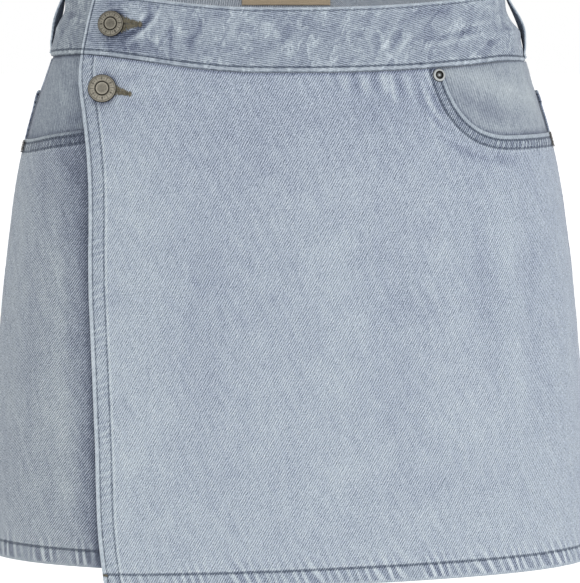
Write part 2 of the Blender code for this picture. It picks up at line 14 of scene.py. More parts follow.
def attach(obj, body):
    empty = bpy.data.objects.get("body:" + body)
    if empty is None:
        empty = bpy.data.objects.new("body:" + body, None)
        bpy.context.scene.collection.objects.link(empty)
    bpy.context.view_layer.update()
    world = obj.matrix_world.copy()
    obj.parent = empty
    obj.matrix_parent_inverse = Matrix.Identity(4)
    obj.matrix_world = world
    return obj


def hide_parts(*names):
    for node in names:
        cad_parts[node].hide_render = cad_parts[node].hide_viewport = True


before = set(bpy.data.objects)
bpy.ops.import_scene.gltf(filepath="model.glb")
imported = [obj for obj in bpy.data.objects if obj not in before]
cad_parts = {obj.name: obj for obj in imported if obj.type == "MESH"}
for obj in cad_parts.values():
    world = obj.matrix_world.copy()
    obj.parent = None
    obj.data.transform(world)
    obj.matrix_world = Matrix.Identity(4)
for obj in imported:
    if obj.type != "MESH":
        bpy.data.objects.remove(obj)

log = logging.getLogger("skort")

# Single numbers and arrays pass through the same curves; a node's input takes a number or an output.
Numbers = Union[float, np.ndarray]
Given = Union[float, Sequence[float], bpy.types.NodeSocket]

MM = 0.001
BODY = "root"

# Cloth of one wall, and of the folded bands.
WALL = 1.2 * MM
BAND_WALL = 2.4 * MM
SEAM_GAP = 0.3 * MM

# Joined panels run into each other by this much, so that no light shows through a seam.
SEAM_LAP = 0.15 * MM
YOKE_TUCK = 1.8 * MM

# How far each layer lies inside the garment's outer surface.
BAND_PROUD = 1.0 * MM
YOKE_INSET = 1.4 * MM
FACING_INSET = 1.8 * MM
UNDER_BAND_INSET = 2.2 * MM
UNDER_LEG_INSET = 2.3 * MM
HIDDEN_LEG_INSET = 4.0 * MM
LEG_FLARE_INSET = 1.4 * MM

# Heights at the side seams, and what the front and back add to them at the centre.
BAND_TOP = 20.5 * MM
BAND_SEAM = -21.0 * MM
FRONT_DIP = -8.3 * MM
BACK_RISE = 8.0 * MM
OVERLAP_LIFT = 5.4 * MM
OVERLAP_TOP_SHARE = 0.6
SHORTS_HEM = -350.0 * MM
YOKE_SIDE = -44.0 * MM
YOKE_CENTRE_DROP = -26.0 * MM

# Turns round the garment, from the centre front, in radians.
SIDE_TURN = math.radians(86)
SIDE_SEAM_TURN = math.radians(0.06)
BAND_SEAM_TURN = math.radians(0.08)
CENTRE_TURN = math.radians(-0.03)
INNER_TURN = math.radians(20)
LAYER_TURN = math.radians(14)
BAND_LAYER_TURN = math.radians(22)

# The buttons draw the band up over these turns, most of all at its free edge.
LIFT_FROM, LIFT_TO = math.radians(-86), math.radians(-6)
FREE_EDGE_TURN = math.radians(-46)

# The band's lower seam settles a little where it comes round to the +X side.
SIDE_SETTLE = 3.2 * MM
SETTLE_FROM, SETTLE_TO = math.radians(58), math.radians(86)
SETTLE_KEPT, SETTLE_END = math.radians(92), math.radians(128)

# Crotch: the rises leave the front and back at these heights and meet at the crotch point.
FRONT_RISE_START = -195.0 * MM
BACK_RISE_START = -165.0 * MM
CROTCH = -262.0 * MM
CROTCH_Y = 12.0 * MM
INNER_ROUND = 58.0 * MM
LEG_GAP_AT_HEM = 28.0 * MM

# Slant pocket, as shares of the garment's half width and as heights.
POCKET_START = 0.627
POCKET_END = 0.86
POCKET_ROUNDNESS = 0.68
POCKET_TOP = -27.4 * MM
POCKET_DROP = 44.0 * MM
POCKET_OVERLAP = 12.0 * MM

# The pocket on the -X side slants: higher by the first of these inside, lower by the other outside.
TILT_RISE, TILT_FALL = 3.6 * MM, 4.6 * MM
TILT_FROM, TILT_TO = math.radians(44), math.radians(84)
TILT_TOP, TILT_FULL = 27.4 * MM, 58.0 * MM

BUTTON_WAIST_AT = (-113.4 * MM, 0.9 * MM)
BUTTON_LOWER_AT = (-119.8 * MM, -40.7 * MM)
RIVET_AT = (97.1 * MM, -31.8 * MM)


# ---------------------------------------------------------------------------------------------
# Numbers and curves
# ---------------------------------------------------------------------------------------------


def mix(start: Numbers, end: Numbers, share: Numbers) -> Numbers:
    """Value that lies a share of the way from start to end."""
    return start + (end - start) * share


def ease(value: Numbers, low: float, high: float) -> np.ndarray:
    """0 at low, 1 at high, and a smooth rise between them; low may be the larger."""
    share = np.clip((np.asarray(value, float) - low) / (high - low), 0.0, 1.0)
    return share * share * (3 - 2 * share)


def bump(value: Numbers, centre: float, width: float) -> np.ndarray:
    """Bell of height 1 round a centre."""
    return np.exp(-(((np.asarray(value, float) - centre) / width) ** 2))


def signed_power(value: Numbers, power: float) -> np.ndarray:
    """Power of a value's size, with its sign kept."""
    return np.sign(value) * np.abs(value) ** power


def ripple(places: np.ndarray, scale: float, seed: int, waves: int = 9) -> np.ndarray:
    """Smooth unevenness about 0, made of a few plane waves in fixed directions.

    Args:
        places: Array of places, with the coordinates last.
        scale: Typical distance between one rise and the next.
        seed: Chooses the directions.
        waves: Number of waves.

    Returns:
        Array of values, mostly between -1 and 1.
    """
    chance = np.random.default_rng(seed)
    total = np.zeros(places.shape[:-1])
    for _ in range(waves):
        direction = chance.normal(size=places.shape[-1])
        direction /= np.linalg.norm(direction)
        length = scale * chance.uniform(0.7, 1.6)
        total += np.sin(places @ direction * (2 * math.pi / length) + chance.uniform(0, 2 * math.pi))
    return total / math.sqrt(waves)


def lengths_along(points: np.ndarray) -> np.ndarray:
    """Length of a polyline up to each of its points."""
    steps = np.linalg.norm(np.diff(points, axis=0), axis=1)
    return np.concatenate([[0.0], np.cumsum(steps)])


def resample(points: np.ndarray, places: np.ndarray) -> np.ndarray:
    """Points of a polyline at the given lengths along it."""
    lengths = lengths_along(points)
    return np.stack([np.interp(places, lengths, points[:, i]) for i in range(points.shape[1])], -1)


# Each step away from a finished edge is longer than the last one by this factor.
STEP_GROWTH = 1.45

# Number of places whose distances are worked out at one time.
CHUNK = 4000


def graded(length: float, step: float, finest: float, start: bool = True, end: bool = True) -> np.ndarray:
    """Places from 0 to a length that lie closer together near its finished ends.

    Args:
        length: Total length.
        step: Distance between places away from the ends.
        finest: Distance between the first two places at a finished end.
        start: Whether the start is fine.
        end: Whether the end is fine.

    Returns:
        Shares of the length, from 0 to 1.
    """
    ramp = [finest]
    while ramp[-1] < step:
        ramp.append(ramp[-1] * STEP_GROWTH)
    ramp = ramp[:-1]
    middle = length - sum(ramp) * (start + end)
    count = max(int(round(middle / step)), 1)
    steps = ramp * start + [middle / count] * count + ramp[::-1] * end
    return np.concatenate([[0.0], np.cumsum(steps)]) / sum(steps)


def nearest_on(places: np.ndarray, line: np.ndarray) -> tuple[np.ndarray, np.ndarray]:
    """Distance from each place to a polyline, and how far along it the nearest point lies.

    Args:
        places: Array of N places.
        line: Array of M points.

    Returns:
        Two arrays of N lengths.
    """
    starts, ends = line[:-1], line[1:]
    spans = ends - starts
    squares = np.maximum((spans**2).sum(1), 1e-18)
    lengths = lengths_along(line)
    distance = np.empty(len(places))
    along = np.empty(len(places))
    for first in range(0, len(places), CHUNK):
        chunk = places[first : first + CHUNK]
        offsets = chunk[:, None, :] - starts[None]
        share = np.clip((offsets * spans[None]).sum(2) / squares, 0.0, 1.0)
        gaps = np.linalg.norm(offsets - share[:, :, None] * spans[None], axis=2)
        best = gaps.argmin(1)
        picked = np.arange(len(chunk))
        distance[first : first + CHUNK] = gaps[picked, best]
        steps = lengths[best + 1] - lengths[best]
        along[first : first + CHUNK] = lengths[best] + share[picked, best] * steps
    return distance, along


# ---------------------------------------------------------------------------------------------
# The garment's form
# ---------------------------------------------------------------------------------------------


@dataclass(frozen=True)
class Section:
    """Outline of the garment at one height, in millimetres.

    Attributes:
        height: Height of the outline.
        lean: How far its middle lies towards +X.
        half_width: Half its width.
        front: How far it reaches forwards at the middle.
        back: How far it reaches backwards there.
    """

    height: float
    lean: float
    half_width: float
    front: float
    back: float


class BodyForm:
    """The hollow, filled-out shape that every layer of the garment follows."""

    FULLNESS = 2.3
    ARC_HEIGHT = -0.12
    SECTIONS = (
        Section(30.0, -2.5, 141.5, 81.0, 85.0), Section(20.5, -2.4, 143.8, 82.8, 87.0),
        Section(2.0, -2.2, 148.6, 86.0, 91.5), Section(-21.0, -0.7, 156.8, 90.0, 98.0),
        Section(-52.0, -0.4, 167.9, 96.0, 108.0), Section(-90.0, 0.0, 178.0, 101.5, 118.0),
        Section(-145.0, 0.0, 186.3, 106.5, 124.0), Section(-211.0, 0.0, 193.3, 110.5, 122.0),
        Section(-285.0, 0.0, 199.4, 114.5, 119.0), Section(-370.0, 0.0, 206.0, 119.0, 119.0)
    )
    WRAP_EDGE = (
        (20.0, -126.5), (-2.0, -131.5), (-33.0, -136.4), (-56.0, -133.8), (-80.0, -131.0), (-171.0, -129.2),
        (-267.0, -125.2), (-345.0, -121.5), (-364.0, -118.5)
    )
    WRAP_HEM = ((-119.0, -364.0), (-30.0, -360.5), (98.0, -355.5), (205.0, -353.0))

    def __init__(self) -> None:
        """Works out the smooth curves through the sections."""
        names = ("lean", "half_width", "front", "back")
        self._curves = {
            name: self._curve([(row.height, getattr(row, name)) for row in self.SECTIONS]) for name in names
        }
        self._edge = self._curve(self.WRAP_EDGE)
        self._hem = self._curve(self.WRAP_HEM)
        self._turns = np.linspace(-math.pi, math.pi, 1441)
        ring = self.ring(self._turns, np.full(1441, self.ARC_HEIGHT))
        arcs = lengths_along(ring)
        self._arcs = arcs - np.interp(0.0, self._turns, arcs)

    @staticmethod
    def _curve(rows: Sequence[tuple[float, float]]) -> Callable[[np.ndarray], np.ndarray]:
        """Smooth curve through the rows of a short table in millimetres.

        Args:
            rows: Rows of (place, value), in any order.

        Returns:
            Function that gives the value at a place, in metres.
        """
        keys, values = np.array(sorted(rows)).T * MM
        slopes = np.gradient(values, keys)

        def value_at(place: np.ndarray) -> np.ndarray:
            """Reads the curve.

            Args:
                place: Places along the curve, in metres; beyond its ends the end's value holds.

            Returns:
                Value at each place.
            """
            place = np.clip(np.asarray(place, float), keys[0], keys[-1])
            last = np.clip(np.searchsorted(keys, place, side="right"), 1, len(keys) - 1)
            step = keys[last] - keys[last - 1]
            t = (place - keys[last - 1]) / step
            low, high = values[last - 1], values[last]
            rise = low * (1 + 2 * t) * (1 - t) ** 2 + slopes[last - 1] * step * t * (1 - t) ** 2
            return rise + high * t * t * (3 - 2 * t) + slopes[last] * step * t * t * (t - 1)

        return value_at

    def ring(self, turn: Numbers, height: Numbers, inset: Numbers = 0.0) -> np.ndarray:
        """Points of the surface; the turn is 0 at the centre front and grows towards +X.

        Args:
            turn: Turns round the garment.
            height: Heights of the same shape.
            inset: How far inside the surface the points lie.

        Returns:
            Array of places, with the coordinates last.
        """
        turn, height = np.broadcast_arrays(np.asarray(turn, float), np.asarray(height, float))
        front, back = self._curves["front"](height), self._curves["back"](height)
        depth = np.where(np.cos(turn) > 0, front, back) - inset
        width = self._curves["half_width"](height) - inset
        x = self._curves["lean"](height) + width * signed_power(np.sin(turn), 2 / self.FULLNESS)
        y = -depth * signed_power(np.cos(turn), 2 / self.FULLNESS)
        return np.stack([x, y, height], -1)

    def front_turn(self, x: Numbers, height: Numbers) -> np.ndarray:
        """Turn of the front surface's point at this x and height.

        Args:
            x: Places across the front.
            height: Their heights.

        Returns:
            Array of turns.
        """
        offset = np.asarray(x, float) - self._curves["lean"](height)
        share = np.clip(offset / self._curves["half_width"](height), -1.0, 1.0)
        return np.arcsin(signed_power(share, self.FULLNESS / 2))

    def arc(self, turn: Numbers) -> np.ndarray:
        """Length round the hips from the centre front to a turn."""
        return np.interp(turn, self._turns, self._arcs)

    def turn_at(self, arc: Numbers) -> np.ndarray:
        """Turn at a length round the hips from the centre front."""
        return np.interp(arc, self._arcs, self._turns)

    def cloth_place(self, turn: Numbers, height: Numbers) -> np.ndarray:
        """Place on the flat cloth, in metres: round the garment from the centre front, and up.

        Args:
            turn: Turns round the garment.
            height: Their heights.

        Returns:
            Array of flat places, with the coordinates last.
        """
        width = self._curves["half_width"]
        across = self.arc(turn) * width(height) / width(self.ARC_HEIGHT)
        return np.stack(np.broadcast_arrays(across, height), -1)

    def contour(self, turn: Numbers) -> np.ndarray:
        """What the band's seams add to their side height at this turn."""
        return np.cos(turn) ** 2 * np.where(np.cos(turn) > 0, FRONT_DIP, BACK_RISE)

    def overlap_lift(self, turn: Numbers) -> np.ndarray:
        """How far the buttons draw the band's lower seam up at this turn."""
        share = np.clip((np.asarray(turn, float) - LIFT_FROM) / (LIFT_TO - LIFT_FROM), 0.0, 1.0)
        return OVERLAP_LIFT * np.sin(math.pi * share) ** 1.6

    def band_top(self, turn: Numbers) -> np.ndarray:
        """Height of the waistband's upper edge."""
        return BAND_TOP + self.contour(turn) + OVERLAP_TOP_SHARE * self.overlap_lift(turn)

    def side_settle(self, turn: Numbers) -> np.ndarray:
        """How far the band's lower seam settles at this turn."""
        kept = 1 - ease(turn, SETTLE_KEPT, SETTLE_END)
        return SIDE_SETTLE * ease(turn, SETTLE_FROM, SETTLE_TO) * kept

    def band_seam(self, turn: Numbers) -> np.ndarray:
        """Height of the waistband's lower seam."""
        return BAND_SEAM + self.contour(turn) + self.overlap_lift(turn) - self.side_settle(turn)

    def panel_top(self, turn: Numbers, inset: Numbers = 0.0) -> np.ndarray:
        """Height where a panel starts below the waistband, whose lower edge slopes down inwards.

        Args:
            turn: Turns round the garment.
            inset: How far inside the form the panel lies.

        Returns:
            Array of heights.
        """
        shape = np.shape(turn)
        climb = self.ring(turn, np.full(shape, BAND_SEAM)) - self.ring(turn, np.full(shape, BAND_TOP))
        lean = np.hypot(climb[..., 0], climb[..., 1]) / -climb[..., 2]
        return self.band_seam(turn) - SEAM_GAP - lean * (inset + BAND_PROUD)

    def yoke_seam(self, turn: Numbers) -> np.ndarray:
        """Height of the seam under the back yoke, which drops towards the centre back."""
        return YOKE_SIDE + YOKE_CENTRE_DROP * np.abs(np.cos(turn)) ** 1.5

    def wrap_hem(self, x: Numbers) -> np.ndarray:
        """Height of the wrap's hem."""
        return self._hem(x)

    def wrap_edge(self, height: Numbers) -> np.ndarray:
        """Place across the front of the wrap's free edge."""
        return self._edge(height)

    def pocket_curve(self, margin: float = 0.0, first_swing: float = 0.0) -> np.ndarray:
        """Edge of the +X pocket as (turn, height) rows, from the band's seam to the side seam.

        Args:
            margin: How far outside the edge the curve runs.
            first_swing: Where on its round part the curve starts, in radians.

        Returns:
            Array of rows.
        """
        reach = POCKET_END - POCKET_START + margin / (self.SECTIONS[3].half_width * MM)
        swing = np.linspace(first_swing, math.pi / 2, 90)
        share = POCKET_END - reach * np.abs(np.cos(swing)) ** POCKET_ROUNDNESS
        heights = POCKET_TOP - (POCKET_DROP + margin) * np.sin(swing)
        turns = np.arcsin(share ** (self.FULLNESS / 2))
        level_turns = np.linspace(turns[-1], SIDE_TURN, 12)[1:]
        level = np.stack([level_turns, np.full(11, heights[-1])], -1)
        return np.concatenate([np.stack([turns, heights], -1), level])

    def tilted(self, curve: np.ndarray) -> np.ndarray:
        """A pocket's curve, slanted as on the -X side.

        Args:
            curve: Rows of turn and height.

        Returns:
            Array of the slanted rows.
        """
        slant = mix(TILT_RISE, -TILT_FALL, ease(curve[:, 0], TILT_FROM, TILT_TO))
        heights = curve[:, 1] + slant * ease(-curve[:, 1], TILT_TOP, TILT_FULL)
        return np.stack([curve[:, 0], heights], -1)


FORM = BodyForm()


# ---------------------------------------------------------------------------------------------
# Modelling helpers
# ---------------------------------------------------------------------------------------------


def deselect_all() -> None:
    """Leaves nothing selected and nothing active."""
    if bpy.context.object and bpy.context.object.mode != "OBJECT":
        bpy.ops.object.mode_set(mode="OBJECT")
    bpy.ops.object.select_all(action="DESELECT")
    bpy.context.view_layer.objects.active = None


def make_active(piece: bpy.types.Object) -> None:
    """Selects one object only and makes it the active one.

    Args:
        piece: Piece to select.
    """
    deselect_all()
    piece.select_set(True)
    bpy.context.view_layer.objects.active = piece


def read_points(mesh: bpy.types.Mesh) -> np.ndarray:
    """Places of a mesh's points.

    Args:
        mesh: Mesh to read.

    Returns:
        Array of places, one row for each point.
    """
    places = np.empty(len(mesh.vertices) * 3, np.float32)
    mesh.vertices.foreach_get("co", places)
    return places.reshape(-1, 3).astype(float)


def write_points(mesh: bpy.types.Mesh, places: np.ndarray) -> None:
    """Moves a mesh's points to new places."""
    mesh.vertices.foreach_set("co", np.ascontiguousarray(places, np.float32).ravel())
    mesh.update()


def apply_modifier(piece: bpy.types.Object, kind: str, **settings: object) -> None:
    """Adds a modifier with these settings and applies it.

    Args:
        piece: Piece that takes it.
        kind: Type of the modifier.
        settings: Its properties.
    """
    make_active(piece)
    bpy.ops.object.modifier_add(type=kind)
    modifier = piece.modifiers[-1]
    for name, value in settings.items():
        setattr(modifier, name, value)
    bpy.ops.object.modifier_apply(modifier=modifier.name)


def smooth_by_angle(piece: bpy.types.Object, degrees: float) -> None:
    """Shades a piece smooth, with edges sharper than an angle kept sharp."""
    make_active(piece)
    bpy.ops.object.shade_smooth_by_angle(angle=math.radians(degrees))


def give_materials(piece: bpy.types.Object, *materials: bpy.types.Material) -> None:
    """Puts these materials in a piece's slots.

    Args:
        piece: Piece that takes them.
        materials: One material for each slot.
    """
    piece.data.materials.clear()
    for material in materials:
        piece.data.materials.append(material)


class Slot(Enum):
    """Material slots of the record."""

    DENIM = "denim"
    METAL = "antique_metal"
    LABEL = "label_tan"


def hand_over(piece: bpy.types.Object, slot: Slot, *nodes: str) -> None:
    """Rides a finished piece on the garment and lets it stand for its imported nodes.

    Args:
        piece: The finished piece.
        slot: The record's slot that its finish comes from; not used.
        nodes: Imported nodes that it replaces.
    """
    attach(piece, BODY)
    if nodes:
        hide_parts(*nodes)
    log.info("%s: %d faces", piece.name, len(piece.data.polygons))


# ---------------------------------------------------------------------------------------------
# Cloth panels
# ---------------------------------------------------------------------------------------------


class Side(Enum):
    """Sides of a panel's grid of points."""

    TOP = "top"
    BOTTOM = "bottom"
    LEFT = "left"
    RIGHT = "right"


@dataclass(frozen=True)
class Sewing:
    """How one edge of a panel is sewn, in millimetres.

    Attributes:
        seam: Name of the mesh attribute that carries distance, phase and strength.
        rows: Distances of its stitch rows from the edge.
        turn: Depth of the layer that is turned in along the edge.
        lift: How far that layer lifts the face.
        roll: Radius of the rounded edge.
        rope: Height of the puckers.
        period: Distance from one pucker to the next.
        lean: How far a pucker shifts along the edge for each millimetre away from it.
        reach: How far puckers fade out beyond the last row.
        seed: Chooses the unevenness.
        strength: Strength of the puckers at lengths along the edge.
    """

    seam: str
    rows: tuple[float, ...] = ()
    turn: float = 0.0
    lift: float = 0.0
    roll: float = 0.0
    rope: float = 0.0
    period: float = 4.0
    lean: float = 0.0
    reach: float = 2.0
    seed: int = 1
    strength: tuple[tuple[float, float], ...] = ((0.0, 1.0),)


@dataclass(frozen=True)
class Crease:
    """A soft trough or ridge drawn on the cloth, in millimetres.

    Attributes:
        start: Its first end, across the garment and up.
        end: Its other end.
        width: Half its width.
        height: Height of the cloth there, below 0 for a trough.
        fade: How much lighter the cloth is there, below 0 for darker: rubbed wear, with painted shade in
            troughs and painted light on ridges.
        bow: How far its middle bows to the side.
        back: Whether it lies on the back.
    """

    start: tuple[float, float]
    end: tuple[float, float]
    width: float
    height: float
    fade: float
    bow: float = 0.0
    back: bool = False

    def line(self, inset: float = 0.0) -> np.ndarray:
        """Points of the crease on the garment's form, or this far inside it.

        Args:
            inset: How far inside the form the points lie.

        Returns:
            Array of places.
        """
        share = np.linspace(0.0, 1.0, 11)[:, None]
        first, last = np.array(self.start) * MM, np.array(self.end) * MM
        across = np.array([last[1] - first[1], first[0] - last[0]])
        across /= np.linalg.norm(across)
        flat = mix(first, last, share) + 4 * share * (1 - share) * self.bow * MM * across
        turns = FORM.front_turn(flat[:, 0], flat[:, 1])
        return FORM.ring(math.pi - turns if self.back else turns, flat[:, 1], inset)


class Panel:
    """A cloth panel: a fine grid laid on the form, which sewing and creases then move."""

    def __init__(
        self, name: str, points: np.ndarray, wall: float = WALL, uv: Optional[np.ndarray] = None
    ) -> None:
        """Lays the panel.

        Args:
            name: Name of the piece.
            points: Rows and columns of places, top row first and columns towards a growing turn.
            wall: Thickness of the cloth.
            uv: Their places on the flat cloth, where they aren't just the lengths along the rows.
        """
        self.name = name
        self.points = points
        self.wall = wall
        down = np.gradient(points, axis=0)
        across = np.gradient(points, axis=1)
        normals = np.cross(down, across)
        self.normals = normals / np.maximum(np.linalg.norm(normals, axis=2, keepdims=True), 1e-12)
        self.offsets = np.zeros(points.shape[:2])
        self.inner = np.zeros(points.shape[:2])
        # Tone of each point: rubbed wear, painted shade and painted light.
        self.wear_and_shade = np.zeros(points.shape[:2])
        self.seams: dict[str, np.ndarray] = {}
        self.uv = self._cloth_places() if uv is None else uv

    def _cloth_places(self) -> np.ndarray:
        """Places on the flat cloth, in metres: across from the middle column, and up.

        Returns:
            Array of flat places for each point of the grid.
        """
        across = np.linalg.norm(np.diff(self.points, axis=1), axis=2)
        across = np.concatenate([np.zeros((len(across), 1)), np.cumsum(across, axis=1)], axis=1)
        middle = across.shape[1] // 2
        across -= across[:, middle : middle + 1]
        across += self.points[:, middle : middle + 1, 0]
        up = self.points[..., 2]
        return np.stack([across, up], -1)

    @property
    def flat(self) -> np.ndarray:
        """The panel's places as one list."""
        return self.points.reshape(-1, 3)

    def border(self, side: Side, first: int = 0, last: Optional[int] = None) -> np.ndarray:
        """Points of one side, or a stretch of it, as laid on the form.

        Args:
            side: Side of the grid.
            first: First grid line of the stretch.
            last: Grid line that it stops before.

        Returns:
            Array of places.
        """
        line = {
            Side.TOP: self.points[0], Side.BOTTOM: self.points[-1], Side.LEFT: self.points[:, 0],
            Side.RIGHT: self.points[:, -1]
        }[side]
        return line[first:last]

    def sew(self, sewing: Sewing, side: Side, first: int = 0, last: Optional[int] = None) -> None:
        """Shapes the cloth along a sewn edge and notes where the edge lies for the finish.

        Args:
            sewing: How the edge is sewn.
            side: Side of the grid that the edge is on.
            first: First grid line of the edge.
            last: Grid line that it stops before.
        """
        found = nearest_on(self.flat, self.border(side, first, last))
        distance, along = (lengths.reshape(self.offsets.shape) / MM for lengths in found)
        pace = along[..., None] / sewing.period
        jitter = 0.13 * ripple(pace, 2.3, sewing.seed) + 0.25 * ripple(pace, 9.0, sewing.seed + 1)
        phase = 2 * math.pi * (pace[..., 0] + distance * sewing.lean / sewing.period + jitter)
        keys, values = np.array(sewing.strength).T
        strength = np.interp(along, keys, values) * (1 + 0.45 * ripple(pace, 4.0, sewing.seed + 2))
        last_row = sewing.rows[-1] if sewing.rows else 0.0
        inside = ease(distance, 0.0, 2.0) * ease(distance, last_row + 0.3, last_row - 1.6)
        beyond = ease(distance, last_row, last_row + 1.5)
        beyond *= ease(distance, last_row + sewing.reach, last_row + 1.5)
        window = 0.45 * beyond + (inside if sewing.rows else 0.0)
        moved = sewing.rope * strength * window * np.sin(phase)
        for row in sewing.rows:
            moved -= 0.30 * bump(distance, row, 0.75)
        if sewing.turn:
            edge = ease(distance, sewing.turn + 0.8, sewing.turn - 0.4)
            moved += sewing.lift * edge
            self.inner += 0.8 * MM * edge
        if sewing.roll:
            rest = np.clip(1 - distance / sewing.roll, 0.0, 1.0)
            moved -= sewing.roll * (1 - np.sqrt(1 - rest**2))
        self.offsets += moved * MM
        self.seams[sewing.seam] = np.stack([distance, phase, np.clip(strength, 0.0, 1.6)], -1)

    def crease(self, creases: Sequence[Crease], inset: float = 0.0) -> None:
        """Moves the cloth along each crease, which lies this far inside the form, and shifts its tone there:
        wear, painted shade and painted light.

        Args:
            creases: Creases to draw.
            inset: How far inside the form the panel lies.
        """
        places = self.flat
        for crease in creases:
            line = crease.line(inset)
            width = crease.width * MM
            margin = width * 3
            low, high = line.min(0) - margin, line.max(0) + margin
            near = np.flatnonzero(((places >= low) & (places <= high)).all(1))
            if not len(near):
                continue
            distance, along = nearest_on(places[near], line)
            share = along / lengths_along(line)[-1]
            taper = np.sin(math.pi * np.clip(share, 0.02, 0.98)) ** 0.6
            profile = np.exp(-((distance / width) ** 2)) * taper
            self.offsets.reshape(-1)[near] += crease.height * MM * profile
            self.wear_and_shade.reshape(-1)[near] += crease.fade * profile

    def undulate(self, height: float, scale: float, seed: int) -> None:
        """Adds soft unevenness of this height and scale, in millimetres, to the whole panel."""
        stretched = self.flat * np.array([1.0, 1.0, 0.45])
        self.offsets += height * MM * ripple(stretched, scale * MM, seed).reshape(self.offsets.shape)

    def keep_off(self, depth: float) -> None:
        """Softly keeps the face from sinking deeper than this, clear of the layer beneath."""
        sunk = np.minimum(self.offsets, 0.0)
        self.offsets = np.maximum(self.offsets, 0.0) + depth * np.tanh(sunk / depth)

    def paint_button_shadow(self, place: tuple[float, float], radius: float) -> None:
        """Paints the shadow that a button casts on the cloth under and just round it.

        Args:
            place: Middle of the button, across the front and up.
            radius: Its radius.
        """
        middle = FORM.ring(FORM.front_turn(*place), place[1])
        away = np.linalg.norm(self.points - middle, axis=2)
        self.wear_and_shade -= 0.34 * ease(away, radius + 2.2 * MM, radius - 0.4 * MM)

    def surface(self) -> np.ndarray:
        """Places of the panel's outer face."""
        return self.points + self.offsets[..., None] * self.normals

    def stitch_line(
        self, seam: str, side: Side, row: float, first: int = 0, last: Optional[int] = None
    ) -> tuple[np.ndarray, np.ndarray]:
        """Path of a stitch row at a distance from one side's edge.

        Args:
            seam: Name of the sewn edge.
            side: Side of the grid that the edge is on.
            row: Distance of the row from the edge, in millimetres.
            first: First grid line that the row crosses.
            last: Grid line that it stops before.

        Returns:
            Places on the outer face, and the face's normals there.
        """
        distance = self.seams[seam][..., 0]
        places, normals = self.surface(), self.normals
        if side in (Side.LEFT, Side.RIGHT):
            distance, places, normals = distance.T, places.transpose(1, 0, 2), normals.transpose(1, 0, 2)
        if side in (Side.BOTTOM, Side.RIGHT):
            distance, places, normals = distance[::-1], places[::-1], normals[::-1]
        count = distance.shape[0] // 2
        found_places, found_normals = [], []
        for line in range(distance.shape[1])[first:last]:
            gaps = distance[:count, line]
            passed = np.flatnonzero(gaps >= row)
            if not len(passed) or passed[0] == 0:
                continue
            after = passed[0]
            share = (row - gaps[after - 1]) / (gaps[after] - gaps[after - 1])
            found_places.append(mix(places[after - 1, line], places[after, line], share))
            found_normals.append(mix(normals[after - 1, line], normals[after, line], share))
        return np.array(found_places), np.array(found_normals)

    def make(self, face: bpy.types.Material, reverse: bpy.types.Material) -> bpy.types.Object:
        """Builds the piece: the grid on its places, given its wall.

        Args:
            face: Material of the outer side and the edges.
            reverse: Material of the inner side.

        Returns:
            The finished piece.
        """
        rows, columns = self.points.shape[:2]
        deselect_all()
        bpy.ops.mesh.primitive_grid_add(x_subdivisions=columns - 1, y_subdivisions=rows - 1, size=2.0)
        piece = bpy.context.object
        piece.name = piece.data.name = self.name
        mesh = piece.data
        flat = read_points(mesh)
        column = np.rint((flat[:, 0] + 1) / 2 * (columns - 1)).astype(int)
        row = np.rint((1 - flat[:, 1]) / 2 * (rows - 1)).astype(int)
        write_points(mesh, self.surface()[row, column])
        corners = np.empty(len(mesh.loops), np.int32)
        mesh.loops.foreach_get("vertex_index", corners)
        layer = mesh.uv_layers[0]
        layer.name = "cloth"
        spots = self.uv[row, column][corners]
        layer.data.foreach_set("uv", np.ascontiguousarray(spots, np.float32).ravel())
        for name, values in self.seams.items():
            attribute = mesh.attributes.new(name, "FLOAT_VECTOR", "POINT")
            attribute.data.foreach_set("vector", values[row, column].astype(np.float32).ravel())
        attribute = mesh.attributes.new("wear_and_shade", "FLOAT", "POINT")
        attribute.data.foreach_set("value", self.wear_and_shade[row, column].astype(np.float32))
        thickest = float(self.inner.max()) + self.wall
        group = piece.vertex_groups.new(name="wall")
        weights = np.round((self.wall + self.inner[row, column]) / thickest, 2)
        for weight in np.unique(weights):
            group.add(np.flatnonzero(weights == weight).tolist(), float(weight), "REPLACE")
        give_materials(piece, face, reverse)
        apply_modifier(
            piece, "SOLIDIFY", thickness=thickest, offset=-1.0, use_rim=True, material_offset=1,
            vertex_group="wall"
        )
        piece.vertex_groups.clear()
        smooth_by_angle(piece, 50)
        return piece

    def cut_size(self) -> tuple[float, float, float]:
        """Width, length and area of the flat cut that shows.

        Returns:
            Width, length and area.
        """
        across = np.linalg.norm(np.diff(self.points, axis=1), axis=2).sum(1)
        down = np.linalg.norm(np.diff(self.points, axis=0), axis=2).sum(0)
        sides = np.cross(
            self.points[1:, 1:] - self.points[:-1, :-1], self.points[1:, :-1] - self.points[:-1, 1:]
        )
        area = 0.5 * np.linalg.norm(sides, axis=2).sum()
        return float(across.max()), float(down.max()), float(area)


